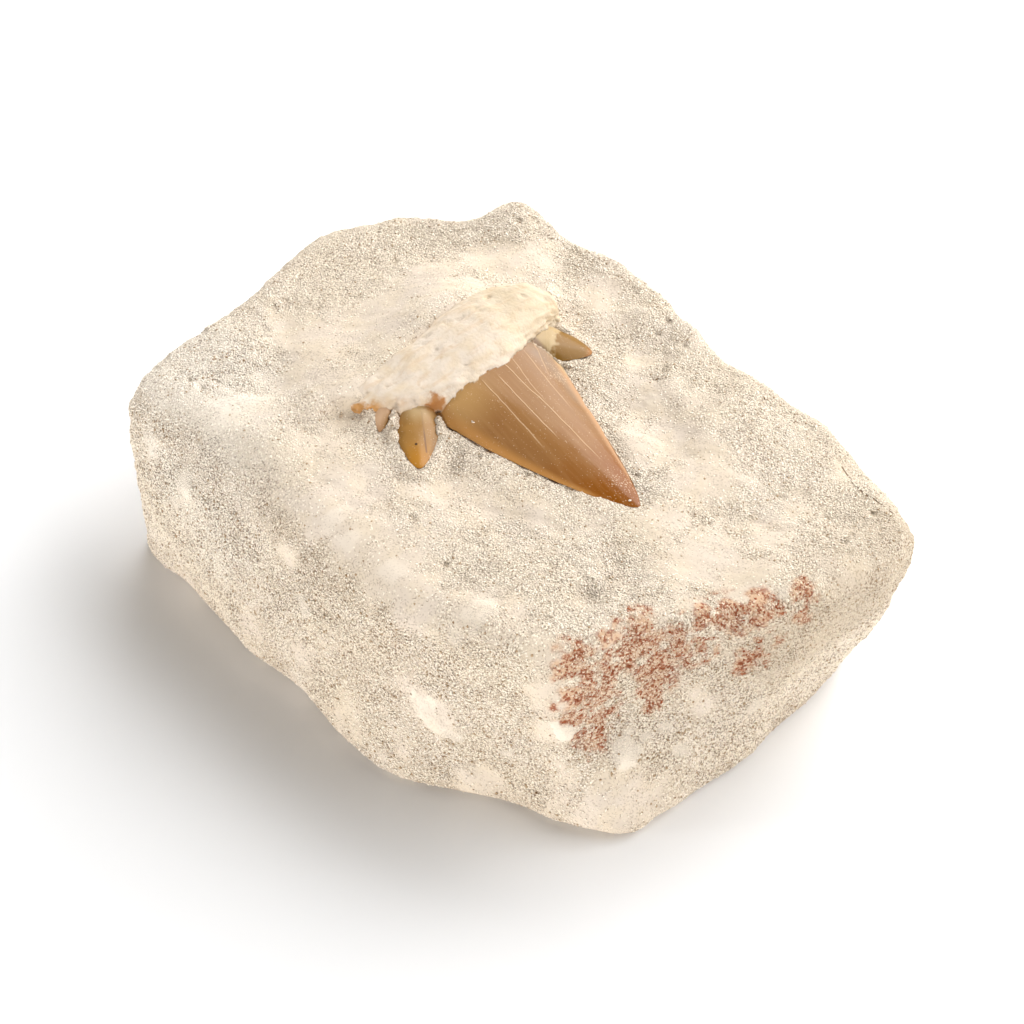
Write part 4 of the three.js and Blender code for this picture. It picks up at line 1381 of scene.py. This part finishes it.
# Painted shade: the root is darker towards its right end, which the lamps light most.
root_colour = r.mix(r.step(y, -2, 12) * 0.65, root_colour, colour(206, 187, 156))
root_colour = r.mix(r.step(fibres, 0.5, 0.7) * 0.3, root_colour, colour(206, 172, 132))
lip = r.step(x - 0.92 * y + 3 * r.noise(1, 3, spot), 9.6, 10.9) * (1 - r.step(y, -12, -10))
lip = lip * r.step(y, -24, -21) * (1 - 0.85 * r.step(y, -19, -17.8)) * (1 - r.step(z, 3, 4.2))
root_colour = r.mix(lip * 0.9, root_colour, colour(181, 127, 59))
tooth_colour = r.mix(enamel, root_colour, crown)
blotch = near((-1.8, -11.2, 2.4), 2.7) + 0.9 * (r.noise(0.9, 3, spot) - 0.5)
tooth_colour = r.mix(r.step(blotch, 0.15, 0.6) * 0.9, tooth_colour, colour(168, 108, 44))
tooth_height = enamel * (0.25 * streaks + 0.3 * lines) + (1 - enamel) * (r.noise(0.6, 4, spot) + fibres)
tooth_material = r.finish(
    Base_Color=tooth_colour, Roughness=0.85 - 0.47 * enamel, Coat_Weight=0.06 * enamel,
    Specular_IOR_Level=0.25, Normal=r.bump(tooth_height, 0.15),
)

# %% [markdown]
# ## Which piece is what
#
# The imported model has a plain block and a plain tooth at the same places. The fine ones replace them, so
# that each is there only once, and the grains come on top. Every piece rides on the root of the model, as
# nothing here moves.

# %% Which piece is what
block.name = block.data.name = "sandstone_block"
for piece, material, slot in [(block, sandstone, "matrix"), (tooth, tooth_material, "tooth")] + [
    (piece, sand, "matrix") for piece in grains
]:
    piece.data.materials.clear()
    piece.data.materials.append(material)
    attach(piece, "root")
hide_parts("matrix_block")
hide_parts("tooth")
print("pieces:", [piece.name for piece in (block, tooth, *grains)])

# %% [markdown]
# ## The stage
#
# A plain white floor and a faint white sky, so that no colour falls on the stone but its own. Two large
# soft lamps stand 40 degrees up, one to the right of the camera's view and one beyond the block, so the
# shadows fall to the left and forwards, and the relief of the top shows. Two small ones stand low and
# twice as far off, one behind the camera and one on the left. They fill the near sides, which the large
# ones leave dark.

# %% The floor and the light
FLOOR = 3  # half its side, in metres
SKY_STRENGTH = 0.1
LAMPS = [  # name, degrees round and up, metres away and wide, watts
    ("key_right", 148, 40, 0.8, 0.8, 7.4), ("key_back", 202, 40, 0.8, 0.8, 8.3),
    ("fill", 40, 5, 1.6, 0.28, 16.5), ("side", -36, 5, 1.6, 0.28, 15),
]

floor_mesh = bpy.data.meshes.new("floor")
floor_corners = [(-FLOOR, -FLOOR, 0), (FLOOR, -FLOOR, 0), (FLOOR, FLOOR, 0), (-FLOOR, FLOOR, 0)]
floor_mesh.from_pydata(floor_corners, [], [(0, 1, 2, 3)])
floor = bpy.data.objects.new("floor", floor_mesh)
bpy.context.scene.collection.objects.link(floor)
paper = Recipe("white_paper").finish(Base_Color=(0.95, 0.95, 0.95, 1), Roughness=1.0)
floor_mesh.materials.append(paper)


def lamp(name, round_by, up_by, away, size, power):
    """A square area light that looks at the block from so far round, so high up and so far away."""
    towards = direction(round_by, up_by)
    light = bpy.data.lights.new(name, "AREA")
    light.energy, light.size = power, size
    thing = bpy.data.objects.new(name, light)
    thing.location = LOOK_AT + away * towards
    thing.rotation_euler = towards.to_track_quat("Z", "Y").to_euler()
    bpy.context.scene.collection.objects.link(thing)


for row in LAMPS:
    lamp(*row)
world = bpy.data.worlds.new("white_sky")
world.use_nodes = True
sky = world.node_tree.nodes["Background"]
sky.inputs["Color"].default_value = (1, 1, 1, 1)
sky.inputs["Strength"].default_value = SKY_STRENGTH
bpy.context.scene.world = world
bpy.context.scene.view_settings.view_transform = "Standard"
print("lamps:", {light.name: round(light.energy, 1) for light in bpy.data.lights})
